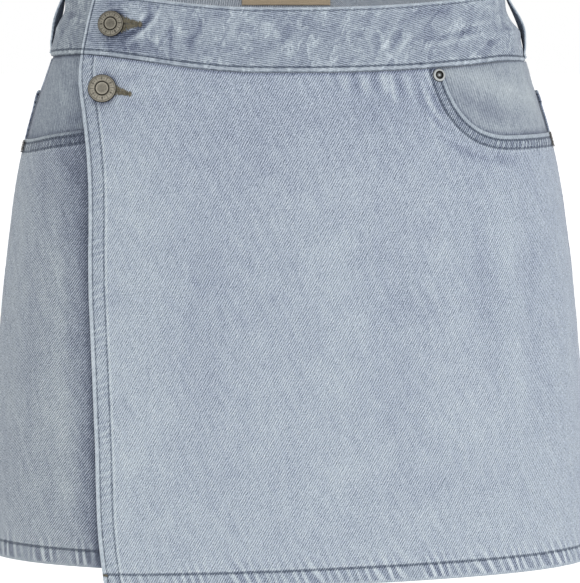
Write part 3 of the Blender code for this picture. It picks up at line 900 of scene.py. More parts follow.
def fill_grid(
    top: np.ndarray, bottom: np.ndarray, left: np.ndarray, right: np.ndarray, across: np.ndarray,
    down: np.ndarray, passes: int = 500
) -> np.ndarray:
    """Spreads a grid evenly between four sides, in (arc, height).

    Args:
        top: Points of the upper side, from left to right.
        bottom: Points of the lower side, from left to right.
        left: Points of the left side, from top to bottom.
        right: Points of the right side, from top to bottom.
        across: Shares of the grid's columns.
        down: Shares of the grid's rows.
        passes: How often the inside is evened out.

    Returns:
        Rows and columns of (arc, height).
    """
    count = 121
    even = np.linspace(0.0, 1.0, count)

    def at(side: np.ndarray, shares: np.ndarray) -> np.ndarray:
        """Points of a side at shares of its length."""
        return resample(side, shares * lengths_along(side)[-1])

    s, t = even[None, :, None], even[:, None, None]
    a, b, c, d = at(top, even), at(bottom, even), at(left, even), at(right, even)
    grid = (1 - t) * a[None] + t * b[None] + (1 - s) * c[:, None] + s * d[:, None]
    grid -= (1 - s) * (1 - t) * a[0] + s * (1 - t) * a[-1] + (1 - s) * t * b[0] + s * t * b[-1]
    for _ in range(passes):
        before, after = grid[1:-1, :-2], grid[1:-1, 2:]
        above, below = grid[:-2, 1:-1], grid[2:, 1:-1]
        slope_across, slope_down = (after - before) / 2, (below - above) / 2
        stretch_down = (slope_down**2).sum(-1, keepdims=True)
        stretch_across = (slope_across**2).sum(-1, keepdims=True)
        slant = (slope_across * slope_down).sum(-1, keepdims=True)
        twist = (grid[2:, 2:] - grid[2:, :-2] - grid[:-2, 2:] + grid[:-2, :-2]) / 4
        evened = stretch_down * (before + after) + stretch_across * (above + below) - 2 * slant * twist
        grid[1:-1, 1:-1] = evened / (2 * (stretch_down + stretch_across))
    column, row = across * (count - 1), down * (count - 1)
    j, i = np.minimum(column.astype(int), count - 2), np.minimum(row.astype(int), count - 2)
    u, v = (column - j)[None, :, None], (row - i)[:, None, None]
    upper = (1 - u) * grid[i][:, j] + u * grid[i][:, j + 1]
    lower = (1 - u) * grid[i + 1][:, j] + u * grid[i + 1][:, j + 1]
    fine = (1 - v) * upper + v * lower
    fine += ((1 - down) ** 30)[:, None, None] * (at(top, across) - fine[0])[None]
    fine += (down**30)[:, None, None] * (at(bottom, across) - fine[-1])[None]
    fine += ((1 - across) ** 30)[None, :, None] * (at(left, down) - fine[:, 0])[:, None]
    fine += (across**30)[None, :, None] * (at(right, down) - fine[:, -1])[:, None]
    return fine


# ---------------------------------------------------------------------------------------------
# Shader graphs
# ---------------------------------------------------------------------------------------------


def linear(*levels: float) -> tuple[float, float, float, float]:
    """Linear colour from sRGB levels out of 255.

    Args:
        levels: Red, green and blue.

    Returns:
        Colour with full opacity.
    """
    shares = [level / 255 for level in levels]
    red, green, blue = (s / 12.92 if s <= 0.04045 else ((s + 0.055) / 1.055) ** 2.4 for s in shares)
    return (red, green, blue, 1.0)


class Graph:
    """A node tree that is being built."""

    def __init__(self, tree: bpy.types.NodeTree) -> None:
        """Starts on an emptied tree."""
        self.tree = tree

    def node(self, kind: str, **settings: object) -> bpy.types.Node:
        """Adds a node and sets its properties.

        Args:
            kind: Type of the node.
            settings: Its properties.

        Returns:
            The node.
        """
        made = self.tree.nodes.new(kind)
        for name, value in settings.items():
            setattr(made, name, value)
        return made

    def feed(self, socket: bpy.types.NodeSocket, value: Given) -> None:
        """Links a socket to an output, or sets it to a value.

        Args:
            socket: Input to feed.
            value: Output, number or colour that it takes.
        """
        if isinstance(value, bpy.types.NodeSocket):
            self.tree.links.new(value, socket)
        else:
            socket.default_value = value

    def fed(self, node: bpy.types.Node, values: Sequence[Given]) -> bpy.types.NodeSocket:
        """Feeds a node's inputs in order.

        Args:
            node: The node.
            values: Its values.

        Returns:
            Its first output.
        """
        for socket, value in zip(node.inputs, values):
            self.feed(socket, value)
        return node.outputs[0]

    def math(self, operation: str, *values: Given, clamp: bool = False) -> bpy.types.NodeSocket:
        """Output of a Math node on these values."""
        return self.fed(self.node("ShaderNodeMath", operation=operation, use_clamp=clamp), values)

    def vector(self, operation: str, *values: Given) -> bpy.types.NodeSocket:
        """Output of a Vector Math node on these values."""
        return self.fed(self.node("ShaderNodeVectorMath", operation=operation), values)

    def joined(self, *lengths: Given) -> bpy.types.NodeSocket:
        """Vector that holds these lengths."""
        return self.fed(self.node("ShaderNodeCombineXYZ"), lengths)

    def split(self, vector: Given) -> tuple[bpy.types.NodeSocket, ...]:
        """The three lengths that a vector holds."""
        return tuple(self.fed(self.node("ShaderNodeSeparateXYZ"), (vector,)).node.outputs)

    def turned_back(self, vector: Given, angle: Given) -> tuple[bpy.types.NodeSocket, ...]:
        """The three lengths of a place that is turned back by an angle on the flat cloth.

        Args:
            vector: The place.
            angle: The angle.

        Returns:
            Lengths along the angle, across it and off the cloth.
        """
        turn = self.node("ShaderNodeVectorRotate", rotation_type="Z_AXIS")
        self.feed(turn.inputs["Vector"], vector)
        self.feed(turn.inputs["Angle"], self.math("MULTIPLY", angle, -1.0))
        return self.split(turn.outputs[0])

    def remap(
        self, value: Given, low: Given, high: Given, start: Given = 0.0, end: Given = 1.0
    ) -> bpy.types.NodeSocket:
        """Smooth rise of a value: start at low, and end at high."""
        node = self.node("ShaderNodeMapRange", interpolation_type="SMOOTHSTEP")
        return self.fed(node, (value, low, high, start, end))

    def centred(self, value: Given) -> bpy.types.NodeSocket:
        """The value less a half."""
        return self.math("SUBTRACT", value, 0.5)

    def noise(
        self, vector: Given, scale: Given, detail: float = 2.0, rough: float = 0.5
    ) -> bpy.types.NodeSocket:
        """Value of a Noise Texture.

        Args:
            vector: Place to look up.
            scale: Scale of the noise.
            detail: Number of finer layers.
            rough: How strong they are.

        Returns:
            Output of the node.
        """
        node = self.node("ShaderNodeTexNoise")
        self.feed(node.inputs["Vector"], vector)
        self.feed(node.inputs["Scale"], scale)
        node.inputs["Detail"].default_value = detail
        node.inputs["Roughness"].default_value = rough
        return node.outputs["Fac"]

    def total(self, *terms: Union[Given, tuple[float, Given]]) -> bpy.types.NodeSocket:
        """Sum of (factor, value) terms and plain values.

        Args:
            terms: Values, or pairs of a factor and a value.

        Returns:
            Output that holds the sum.
        """
        result = None
        for term in terms:
            if isinstance(term, tuple):
                term = self.math("MULTIPLY", term[1], term[0])
            result = term if result is None else self.math("ADD", result, term)
        return result

    def ramp(self, value: Given, stops: Sequence[tuple[float, tuple]]) -> bpy.types.NodeSocket:
        """Colour of a ramp with these stops.

        Args:
            value: Value to look up.
            stops: Places and their colours.

        Returns:
            Its colour output.
        """
        node = self.node("ShaderNodeValToRGB")
        elements = node.color_ramp.elements
        while len(elements) < len(stops):
            elements.new(0.5)
        for element, (place, colour) in zip(elements, stops):
            element.position = place
            element.color = colour
        self.feed(node.inputs[0], value)
        return node.outputs["Color"]

    def group(self, tree: bpy.types.NodeTree, **values: Given) -> bpy.types.Node:
        """Places a node group; a value's name has _ for each space of its socket's.

        Args:
            tree: Group to place.
            values: Inputs of the group.

        Returns:
            The group's node.
        """
        node = self.node("ShaderNodeGroup", node_tree=tree)
        for name, value in values.items():
            self.feed(node.inputs[name.replace("_", " ")], value)
        return node


class Surface(Graph):
    """A material that is being built, with its shader."""

    def __init__(self, name: str) -> None:
        """Adds the material.

        Args:
            name: Name of the material.
        """
        self.material = bpy.data.materials.new(name)
        self.material.use_nodes = True
        super().__init__(self.material.node_tree)
        self.shader = self.tree.nodes["Principled BSDF"]

    def put(self, **values: Given) -> None:
        """Feeds the shader; a value's name has _ for each space of its input's."""
        for name, value in values.items():
            self.feed(self.shader.inputs[name.replace("_", " ")], value)

    def relief(self, strength: float, depth: float, height: Given) -> None:
        """Gives the surface a fine relief.

        Args:
            strength: Strength of the relief.
            depth: Its depth, in millimetres.
            height: Height of the surface, from 0 to 1.
        """
        bumps = self.node("ShaderNodeBump")
        bumps.inputs["Strength"].default_value = strength
        bumps.inputs["Distance"].default_value = depth * MM
        self.feed(bumps.inputs["Height"], height)
        self.put(Normal=bumps.outputs[0])


class Group(Graph):
    """A node group that is being built, from one vector and some numbers."""

    def __init__(self, name: str, vector: str, *numbers: str) -> None:
        """Starts a group with these inputs.

        Args:
            name: Name of the group.
            vector: Name of its vector input.
            numbers: Names of its other inputs.
        """
        super().__init__(bpy.data.node_groups.new(name, "ShaderNodeTree"))
        self.tree.interface.new_socket(name=vector, in_out="INPUT", socket_type="NodeSocketVector")
        for number in numbers:
            self.tree.interface.new_socket(name=number, in_out="INPUT", socket_type="NodeSocketFloat")
        entry = self.node("NodeGroupInput")
        self.given = {given: entry.outputs[given] for given in (vector, *numbers)}

    def close(self, **results: bpy.types.NodeSocket) -> bpy.types.NodeTree:
        """Gives the group its outputs.

        Args:
            results: What each output holds.

        Returns:
            The finished group.
        """
        for name in results:
            self.tree.interface.new_socket(name=name, in_out="OUTPUT", socket_type="NodeSocketFloat")
        leave = self.node("NodeGroupOutput")
        for name, value in results.items():
            self.feed(leave.inputs[name], value)
        return self.tree


def build_twill() -> bpy.types.NodeTree:
    """Group for a twill weave: slanted lines of yarn, uneven in thickness and colour.

    Returns:
        The group.
    """
    graph = Group("twill weave", "Cloth", "Angle", "Pitch")
    cloth = graph.given["Cloth"]
    along, across, _ = graph.turned_back(cloth, graph.given["Angle"])
    waver = graph.noise(cloth, 300.0, 3.0, 0.6)
    lines = graph.total(graph.math("DIVIDE", across, graph.given["Pitch"]), (0.75, waver))
    wave = graph.math("SINE", graph.math("MULTIPLY", lines, 2 * math.pi))
    stretched = graph.joined(graph.math("MULTIPLY", along, 0.35), across)
    strength = graph.remap(graph.noise(stretched, 620.0, 2.0, 0.6), 0.25, 0.75, 0.25, 1.6)
    wave = graph.math("MULTIPLY", wave, strength)
    grain = graph.centred(graph.noise(cloth, 1150.0, 2.0, 0.6))
    thread = graph.math("MINIMUM", graph.total(0.5, (0.34, wave), (1.25, grain)), 1.2)
    return graph.close(
        Thread=graph.math("MAXIMUM", thread, -0.2), Height=graph.total(0.5, (0.3, wave), (0.3, grain)),
        Slub=graph.noise(stretched, 760.0, 3.0, 0.65)
    )


def build_wash() -> bpy.types.NodeTree:
    """Group for uneven fading: clouds, slanted streaks, crumpled rub lines and fine specks.

    Returns:
        The group.
    """
    graph = Group("wash marks", "Cloth", "Lean", "Size")
    cloth = graph.given["Cloth"]
    along, across, _ = graph.turned_back(cloth, graph.given["Lean"])

    def stretched(share: float) -> bpy.types.NodeSocket:
        """Squeezes the turned place along the lean, so that a pattern on it is drawn out.

        Args:
            share: Share of its length that is left along the lean.

        Returns:
            The place, scaled to the pattern's size.
        """
        scaled = graph.vector("SCALE", graph.joined(graph.math("MULTIPLY", along, share), across))
        graph.feed(scaled.node.inputs["Scale"], graph.given["Size"])
        return scaled

    broken = graph.noise(stretched(0.5), 130.0, 3.0, 0.55)
    broken.node.inputs["Distortion"].default_value = 0.9
    crest = graph.centred(broken)
    line = graph.remap(graph.math("ABSOLUTE", crest), 0.055, 0.0)
    rubs = graph.math("MULTIPLY", line, graph.remap(graph.noise(cloth, 90.0), 0.42, 0.62))
    return graph.close(
        Clouds=graph.noise(cloth, 26.0, 3.0, 0.55), Streaks=graph.noise(stretched(0.3), 200.0, 3.0, 0.55),
        Rubs=graph.total(rubs, (1.6, crest)), Specks=graph.noise(cloth, 700.0, 3.0, 0.7)
    )


def build_seam_wear_and_shade() -> bpy.types.NodeTree:
    """Group for the wear of a sewn edge and the shade painted along it, from its distance in millimetres,
    phase and strength.

    Returns:
        The group.
    """
    graph = Group(
        "seam wear and shade", "Seam", "Roll", "First Row", "Last Row", "Reach", "Spread", "Soft", "Rope From"
    )
    distance, phase, strength = graph.split(graph.given["Seam"])
    roll, soft, last_row = graph.given["Roll"], graph.given["Soft"], graph.given["Last Row"]
    rows = []
    for row in (graph.given["First Row"], last_row):
        gap = graph.math("ABSOLUTE", graph.math("SUBTRACT", distance, row))
        rows.append(graph.remap(gap, graph.given["Spread"], 0.15))
    inside_ends = graph.math("ADD", last_row, 0.3), graph.math("SUBTRACT", last_row, 0.9)
    inside = graph.remap(distance, *inside_ends)
    beyond_end = graph.math("ADD", last_row, graph.given["Reach"])
    beyond = graph.remap(distance, beyond_end, graph.math("ADD", last_row, 1.0))
    beyond = graph.math("SUBTRACT", beyond, inside, clamp=True)
    rope_from = graph.given["Rope From"]
    puckered = graph.remap(distance, rope_from, graph.math("ADD", rope_from, 1.8))
    window = graph.total(graph.math("MULTIPLY", inside, puckered), (0.5, beyond))
    wave = graph.remap(graph.math("SINE", phase), -1.0, 1.0)
    wave = graph.total(-0.5, (1.45, graph.math("POWER", wave, 2.4)))
    crest = graph.math("SUBTRACT", distance, graph.math("ADD", last_row, 1.5))
    return graph.close(
        Light=graph.remap(distance, graph.math("ADD", roll, soft), graph.math("SUBTRACT", roll, soft)),
        Dark=graph.math("MAXIMUM", *rows),
        Rope=graph.math("MULTIPLY", wave, graph.math("MULTIPLY", window, strength)), Turned=inside,
        Ridge=graph.remap(graph.math("ABSOLUTE", crest), 1.3, 0.2), Rim=graph.remap(distance, 0.9, 0.2)
    )


@dataclass(frozen=True)
class SeamLook:
    """How one sewn edge has worn, and the shade painted along it.

    Attributes:
        name: Mesh attribute of the edge.
        roll: Width of its pale fold, in millimetres.
        rows: Its first and last stitch row, in millimetres.
        light: How pale its fold is.
        dark: How dark its stitch rows lie, as painted shade in their sunken lines.
        rope: Contrast of its puckers.
        turned: How much darker the turned layer is.
        reach: How far the puckers fade out, in millimetres.
        ridge: How pale the cloth is just beyond the last row.
        spread: Half width of the dark line along a row, in millimetres.
        soft: How softly the pale fold ends, in millimetres.
        rope_from: Distance from the edge where the puckers begin, in millimetres.
        rim: How dark the very edge lies: painted shade where it meets the cloth below.
    """

    name: str
    roll: float = 2.2
    rows: tuple[float, float] = (3.0, 10.0)
    light: float = 0.16
    dark: float = 0.22
    rope: float = 0.10
    turned: float = 0.05
    reach: float = 8.0
    ridge: float = 0.03
    spread: float = 0.9
    soft: float = 0.45
    rope_from: float = 0.4
    rim: float = 0.0


# Rows of an edge that has no topstitching lie well outside it.
NO_ROWS = (-9.0, -9.0)


@dataclass(frozen=True)
class DenimFinish:
    """Light-washed denim, cut with its twill at some angle, worn along its seams and painted with shade there
    and in its creases.

    Attributes:
        name: Name of the material.
        angle: Direction of the twill lines, in degrees from the cloth's width.
        pitch: Distance between the lines, in metres.
        level: How faded the cloth is, from 0 to 1.
        lean: Direction of the streaks, in degrees.
        streaks: Contrast of the streaks.
        clouds: Contrast of the broad fading.
        rubs: Contrast of the crumpled rub lines.
        twill: Contrast of the twill lines.
        streak_size: Fineness of the streaks.
        seams: The sewn edges.
        inner: Whether this is the pale inner side of the cloth.
        greyer: Whether it takes the greyer colour stops.
    """

    name: str
    angle: float = 60.5
    pitch: float = 1.40 * MM
    level: float = 0.53
    lean: float = 115.0
    streaks: float = 0.24
    clouds: float = 0.12
    rubs: float = 0.0
    twill: float = 0.70
    streak_size: float = 1.0
    seams: tuple[SeamLook, ...] = ()
    inner: bool = False
    greyer: bool = False

    FACE_STOPS = (
        (0.0, linear(64, 73, 89)), (0.25, linear(115, 126, 142)), (0.5, linear(167, 178, 192)),
        (0.75, linear(202, 213, 226)), (1.0, linear(229, 236, 244))
    )
    SIDE_STOPS = (
        (0.0, linear(63, 71, 84)), (0.25, linear(115, 125, 137)), (0.5, linear(167, 177, 187)),
        (0.75, linear(203, 212, 220)), (1.0, linear(230, 235, 240))
    )
    INNER_STOPS = (
        (0.0, linear(84, 94, 110)), (0.4, linear(144, 154, 167)), (0.7, linear(188, 196, 205)),
        (1.0, linear(226, 230, 233))
    )

    def build(self, tools: "Workshop") -> bpy.types.Material:
        """Builds the material from the shared node groups.

        Args:
            tools: Shared groups, finishes and stitching.

        Returns:
            The material.
        """
        graph = Surface(self.name)
        cloth = graph.node("ShaderNodeUVMap", uv_map="cloth").outputs[0]
        weave = graph.group(tools.twill, Cloth=cloth, Angle=math.radians(self.angle), Pitch=self.pitch)
        wash = graph.group(tools.wash, Cloth=cloth, Lean=math.radians(self.lean), Size=self.streak_size)
        # The panel's tone: rubbed wear, painted shade and painted light.
        wear_and_shade = graph.node("ShaderNodeAttribute", attribute_name="wear_and_shade").outputs["Fac"]
        heights = [(0.12, weave.outputs["Height"]), (0.05, wash.outputs["Specks"])]
        marks, lines, folds = [], [], []
        for look in self.seams:
            seam = graph.node("ShaderNodeAttribute", attribute_name=look.name).outputs["Vector"]
            worn = graph.group(
                tools.seam_wear_and_shade, Seam=seam, Roll=look.roll, First_Row=look.rows[0], Last_Row=look.rows[1],
                Reach=look.reach, Spread=look.spread, Soft=look.soft, Rope_From=look.rope_from
            )
            marks += [
                (look.light, worn.outputs["Light"]), (look.rope, worn.outputs["Rope"]),
                (look.ridge, worn.outputs["Ridge"])
            ]
            lines += [
                (-look.dark, worn.outputs["Dark"]), (-look.turned, worn.outputs["Turned"]),
                (-look.rim, worn.outputs["Rim"])
            ]
            if look.roll:
                folds.append((0.6, worn.outputs["Light"]))
            heights.append((-0.25, worn.outputs["Dark"]))
        crisp = graph.math("SUBTRACT", 1.0, graph.total(0.0, *folds), clamp=True)
        marks += [
            (self.streaks, graph.centred(wash.outputs["Streaks"])),
            (self.clouds, graph.centred(wash.outputs["Clouds"])), wear_and_shade
        ]
        if self.rubs:
            marks.append((self.rubs, wash.outputs["Rubs"]))
        marked = graph.total(0.0, *marks)
        fade = graph.total(
            self.level, marked, *lines,
            (self.twill, graph.math("MULTIPLY", graph.centred(weave.outputs["Thread"]), crisp)),
            (0.34, graph.centred(weave.outputs["Slub"])), (0.34, graph.centred(wash.outputs["Specks"]))
        )
        stops = self.SIDE_STOPS if self.greyer else self.FACE_STOPS
        stops = self.INNER_STOPS if self.inner else stops
        red = graph.remap(marked, -0.3, 0.2, 1.015, 1.0)
        blue = graph.remap(marked, -0.3, 0.2, 1.085, 0.968)
        graph.put(
            Base_Color=graph.vector("MULTIPLY", graph.ramp(fade, stops), graph.joined(red, 1.0, blue)),
            Roughness=0.88, Specular_IOR_Level=0.25, Sheen_Weight=0.12, Sheen_Roughness=0.5
        )
        graph.relief(0.55, 0.6, graph.total(*heights))
        return graph.material


@dataclass(frozen=True)
class ThreadFinish:
    """Twisted sewing thread, a little uneven in colour.

    Attributes:
        name: Name of the material.
        dark: Colour of its darkest part, as sRGB levels out of 255.
        pale: Colour of its palest part.
    """

    name: str
    dark: tuple[float, float, float]
    pale: tuple[float, float, float]

    def build(self) -> bpy.types.Material:
        """Builds the material.

        Returns:
            The material.
        """
        graph = Surface(self.name)
        place = graph.node("ShaderNodeTexCoord").outputs["Object"]
        uneven = graph.noise(place, 420.0, 2.0, 0.6)
        fibre = graph.noise(place, 3000.0, 2.0, 0.6)
        blend = graph.total((0.7, uneven), (0.3, fibre))
        colour = graph.ramp(blend, ((0.3, linear(*self.dark)), (0.7, linear(*self.pale))))
        graph.put(Base_Color=colour, Roughness=0.75, Sheen_Weight=0.15)
        graph.relief(0.5, 0.15, fibre)
        return graph.material


@dataclass(frozen=True)
class MetalFinish:
    """Antique plated metal: worn where it stands proud and darkened in its hollows.

    Attributes:
        name: Name of the material.
        hollow: Colour of its hollows, as sRGB levels out of 255.
        worn: Colour where it is rubbed.
    """

    name: str
    hollow: tuple[float, float, float]
    worn: tuple[float, float, float]

    def build(self) -> bpy.types.Material:
        """Builds the material; the attribute relief is 1 on the parts that stand proud.

        Returns:
            The material.
        """
        graph = Surface(self.name)
        place = graph.node("ShaderNodeTexCoord").outputs["Object"]
        relief = graph.node("ShaderNodeAttribute", attribute_name="relief").outputs["Fac"]
        stain = graph.noise(place, 900.0, 4.0, 0.65)
        scratch = graph.noise(place, 3800.0, 3.0, 0.7)
        worn = graph.total(relief, (0.55, graph.centred(stain)), (0.35, graph.centred(scratch)))
        colour = graph.ramp(worn, ((0.1, linear(*self.hollow)), (0.8, linear(*self.worn))))
        graph.put(Base_Color=colour, Roughness=graph.remap(worn, 0.2, 1.0, 0.62, 0.40), Metallic=0.75)
        graph.relief(0.35, 0.1, graph.total((0.6, stain), (0.4, scratch)))
        return graph.material


@dataclass(frozen=True)
class LabelFinish:
    """Plain woven tan tape.

    Attributes:
        name: Name of the material.
    """

    name: str = "tan_tape"

    def build(self, tools: "Workshop") -> bpy.types.Material:
        """Builds the material.

        Args:
            tools: Shared groups, finishes and stitching.

        Returns:
            The material.
        """
        graph = Surface(self.name)
        cloth = graph.node("ShaderNodeUVMap", uv_map="cloth").outputs[0]
        weave = graph.group(tools.twill, Cloth=cloth, Angle=0.0, Pitch=0.9 * MM)
        wash = graph.group(tools.wash, Cloth=cloth, Lean=0.0, Size=1.0)
        tone = graph.total(0.1, (0.45, weave.outputs["Thread"]), (0.35, wash.outputs["Clouds"]))
        colour = graph.ramp(tone, ((0.1, linear(170, 151, 124)), (0.9, linear(224, 203, 174))))
        graph.put(Base_Color=colour, Roughness=0.8)
        graph.relief(0.4, 0.2, weave.outputs["Height"])
        return graph.material


class Workshop:
    """The shared node groups, and the finishes that several pieces wear."""

    def __init__(self) -> None:
        """Builds the groups and the shared finishes."""
        self.twill = build_twill()
        self.wash = build_wash()
        self.seam_wear_and_shade = build_seam_wear_and_shade()
        self.reverse = DenimFinish(
            "denim_reverse", angle=119.0, level=0.62, streaks=0.14, clouds=0.12, inner=True
        ).build(self)
        self.thread = ThreadFinish("grey_blue_thread", (76, 88, 104), (124, 135, 150)).build()
        self.umber_thread = ThreadFinish("umber_thread", (40, 36, 32), (92, 86, 79)).build()
        self.khaki_thread = ThreadFinish("khaki_thread", (64, 60, 46), (140, 133, 111)).build()
        self.metal = MetalFinish("antique_brass", (44, 42, 38), (160, 155, 142)).build()
        self.pewter = MetalFinish("worn_pewter", (30, 30, 26), (178, 182, 182)).build()
        # Dark sheet of painted shadow in the buttonholes' slits.
        self.shadow = ThreadFinish("painted_slit_shadow", (24, 23, 24), (52, 50, 48)).build()
        self.tape = LabelFinish().build(self)
        self.stitching = Stitching()


# ---------------------------------------------------------------------------------------------
# Sewing thread
# ---------------------------------------------------------------------------------------------


@dataclass
class Stitching:
    """Topstitching: one stitch is shaped once, and then copied along every row.

    Attributes:
        length: Length of a stitch that shows.
        gap: Distance from one stitch to the next.
        width: Width of the thread.
        dive: How far a stitch's ends sink into the cloth.
        points: Points of the stitches placed so far.
        faces: Faces between them.
        count: Number of points so far.
    """

    length: float = 2.75 * MM
    gap: float = 0.45 * MM
    width: float = 0.62 * MM
    dive: float = 0.34 * MM
    points: list = field(default_factory=list)
    faces: list = field(default_factory=list)
    count: int = 0

    def __post_init__(self) -> None:
        """Shapes the one stitch: a short length of thread, thinner at its ends."""
        deselect_all()
        bpy.ops.mesh.primitive_uv_sphere_add(segments=6, ring_count=5, radius=1.0)
        pattern = bpy.context.object
        self._shape = read_points(pattern.data)[:, [2, 0, 1]]
        self._shape[:, 1:] *= (1 - 0.25 * self._shape[:, :1] ** 2) * 1.08
        self._corners = [tuple(face.vertices) for face in pattern.data.polygons]
        bpy.data.objects.remove(pattern, do_unlink=True)

    def place(
        self, start: np.ndarray, end: np.ndarray, normal: np.ndarray, width: float, lift: float = 0.0
    ) -> None:
        """Lays one stitch from start to end.

        Args:
            start: Its first end.
            end: Its other end.
            normal: Direction out of the cloth.
            width: Width of its thread.
            lift: How far its middle stands off the cloth.
        """
        along = end - start
        length = np.linalg.norm(along)
        along = along / length
        side = np.cross(normal, along)
        side /= np.linalg.norm(side)
        out = np.cross(along, side)
        shape = self._shape
        places = (start + end) / 2 + shape[:, :1] * along * (length / 2) + shape[:, 1:2] * side * (width / 2)
        rise = shape[:, 2:3] * width * 0.42 + lift - self.dive * shape[:, :1] ** 2
        self.points.append(places + rise * out)
        self.faces += [tuple(corner + self.count for corner in face) for face in self._corners]
        self.count += len(shape)

    def run(
        self, path: tuple[np.ndarray, np.ndarray], trim: tuple[float, float] = (0.0, 0.0), seed: int = 0
    ) -> None:
        """Sews a row along a path.

        Args:
            path: Places on the cloth, and its normals there.
            trim: Lengths left free at the two ends, in millimetres.
            seed: Chooses the small unevenness.
        """
        places, normals = path
        if len(places) < 2:
            return
        lengths = lengths_along(places)
        chance = np.random.default_rng(seed)
        step = self.length + self.gap
        for begin in np.arange(trim[0] * MM, lengths[-1] - trim[1] * MM - self.length, step):
            ends = begin + chance.uniform(-0.12, 0.12, 2) * MM + np.array([0.0, self.length])
            start, middle, end = (
                np.array([np.interp(place, lengths, values[:, i]) for i in range(3)])
                for place, values in ((ends[0], places), (ends.mean(), normals), (ends[1], places))
            )
            sway = np.cross(middle, end - start)
            sway *= chance.uniform(-0.03, 0.03)
            self.place(start - sway, end + sway, middle, self.width * chance.uniform(0.9, 1.08), 0.02 * MM)

    def finish(self, name: str, material: bpy.types.Material) -> bpy.types.Object:
        """Makes one piece of all the stitches laid since the last finish.

        Args:
            name: Name of the piece.
            material: Finish of the thread.

        Returns:
            The finished piece.
        """
        mesh = bpy.data.meshes.new(name)
        mesh.from_pydata(np.concatenate(self.points).tolist(), [], self.faces)
        mesh.shade_smooth()
        piece = bpy.data.objects.new(name, mesh)
        bpy.context.scene.collection.objects.link(piece)
        give_materials(piece, material)
        self.points, self.faces, self.count = [], [], 0
        hand_over(piece, Slot.DENIM)
        return piece


# ---------------------------------------------------------------------------------------------
# Wrap panel
# ---------------------------------------------------------------------------------------------


class Hold(Enum):
    """How a sheet of cloth is held."""

    HUNG = "hung"
    FOLDED = "folded"


def declare_cloth(piece: bpy.types.Object, panel: Panel, hold: Hold, *rests_on: str) -> None:
    """Works out the width, length and area of a panel's flat cut that shows, and does nothing more.

    Args:
        piece: The piece; not used.
        panel: Panel that it is made of.
        hold: How it is held; not used.
        rests_on: Names of the pieces that carry it; not used.
    """
    width, length, area = panel.cut_size()
    width, length = round(width, 4), round(length, 4)


def denim_piece(
    panel: Panel, finish: DenimFinish, tools: Workshop, hold: Hold, rests_on: Sequence[str], node: str,
    reverse: Optional[bpy.types.Material] = None
) -> bpy.types.Object:
    """Makes a panel, dresses it and hands it over.

    Args:
        panel: The sewn panel.
        finish: Its denim.
        tools: Shared groups and finishes.
        hold: How the cloth is held.
        rests_on: Pieces that hold it.
        node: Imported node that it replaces.
        reverse: Finish of its inner side, where it isn't the usual one.

    Returns:
        The finished piece.
    """
    piece = panel.make(finish.build(tools), reverse or tools.reverse)
    hand_over(piece, Slot.DENIM, node)
    declare_cloth(piece, panel, hold, *rests_on)
    return piece


# Where a crease has height, its darker trough is painted shade and its paler ridge is rubbed wear with
# painted light.
FRONT_CREASES = (
    # Pulls under the waistband, between the buttons and the pocket.
    Crease((24, -28), (28, -40), 2.2, 0.35, 0.05),
    Crease((28, -28), (33, -42), 2.2, -0.50, -0.10),
    Crease((34, -28), (39, -46), 1.9, 0.50, 0.10),
    Crease((41, -27), (46, -44), 2.4, -0.55, -0.14),
    Crease((47, -28), (52, -45), 1.7, 0.50, 0.12),
    Crease((54, -27), (58, -43), 2.4, -0.60, -0.18),
    Crease((60, -28), (64, -44), 1.5, 0.60, 0.20),
    Crease((65, -30), (69, -50), 1.5, 0.60, 0.20),
    Crease((69, -28), (74, -46), 2.4, -0.60, -0.20),
    Crease((75, -30), (79, -45), 1.5, 0.40, 0.11),
    Crease((81, -29), (88, -49), 2.4, -0.50, -0.15),
    # Rubbed lines that follow the pocket's edge.
    Crease((89, -29), (99, -50), 1.3, 0.40, 0.22, 1.0),
    Crease((91, -34), (103, -60), 2.6, -0.45, -0.24, 1.6),
    Crease((85, -34), (101, -63), 1.3, 0.45, 0.20, 1.8),
    Crease((84, -42), (104, -70), 2.0, -0.50, -0.18, 2.4),
    Crease((87, -52), (112, -78), 1.8, 0.40, 0.14, 2.6),
    Crease((96, -66), (126, -85), 2.6, -0.45, -0.16, 2.6),
    Crease((112, -82), (146, -88), 3.0, 0.30, -0.07, 2.0),
    Crease((131, -80), (151, -90), 4.0, -0.30, -0.09, 1.0),
    # Broad soft falls below the pocket, with painted shade and light along them.
    Crease((121, -90), (136, -235), 13.0, -0.9, -0.05, 3.0),
    Crease((139, -88), (152, -270), 11.0, 0.9, 0.04, 2.0),
    Crease((108, -110), (116, -290), 15.0, 0.8, 0.03, 3.0),
    Crease((155, -110), (164, -250), 9.0, -0.8, -0.04, 2.0),
    # Dents where the lower button draws the cloth, painted darker as shade.
    Crease((-108, -36), (-92, -30), 2.6, -0.55, -0.08),
    Crease((-104, -42), (-84, -42), 2.8, 0.50, 0.06),
    Crease((-107, -48), (-90, -55), 3.0, -0.55, -0.07),
    Crease((-121, -50), (-117, -66), 3.2, -0.45, -0.04),
    Crease((-112, -28), (-104, -24), 2.2, 0.40, 0.08),
    # Long shallow falls in the middle of the panel, with painted shade and light along them.
    Crease((-40, -60), (-62, -300), 20.0, -0.7, -0.03, 5.0),
    Crease((22, -70), (34, -310), 22.0, 0.7, 0.03, -4.0),
    Crease((66, -90), (78, -320), 18.0, -0.7, -0.03, 3.0),
    # Darker cloth below the pulls.
    Crease((34, -46), (84, -54), 11.0, 0.0, -0.06),
)


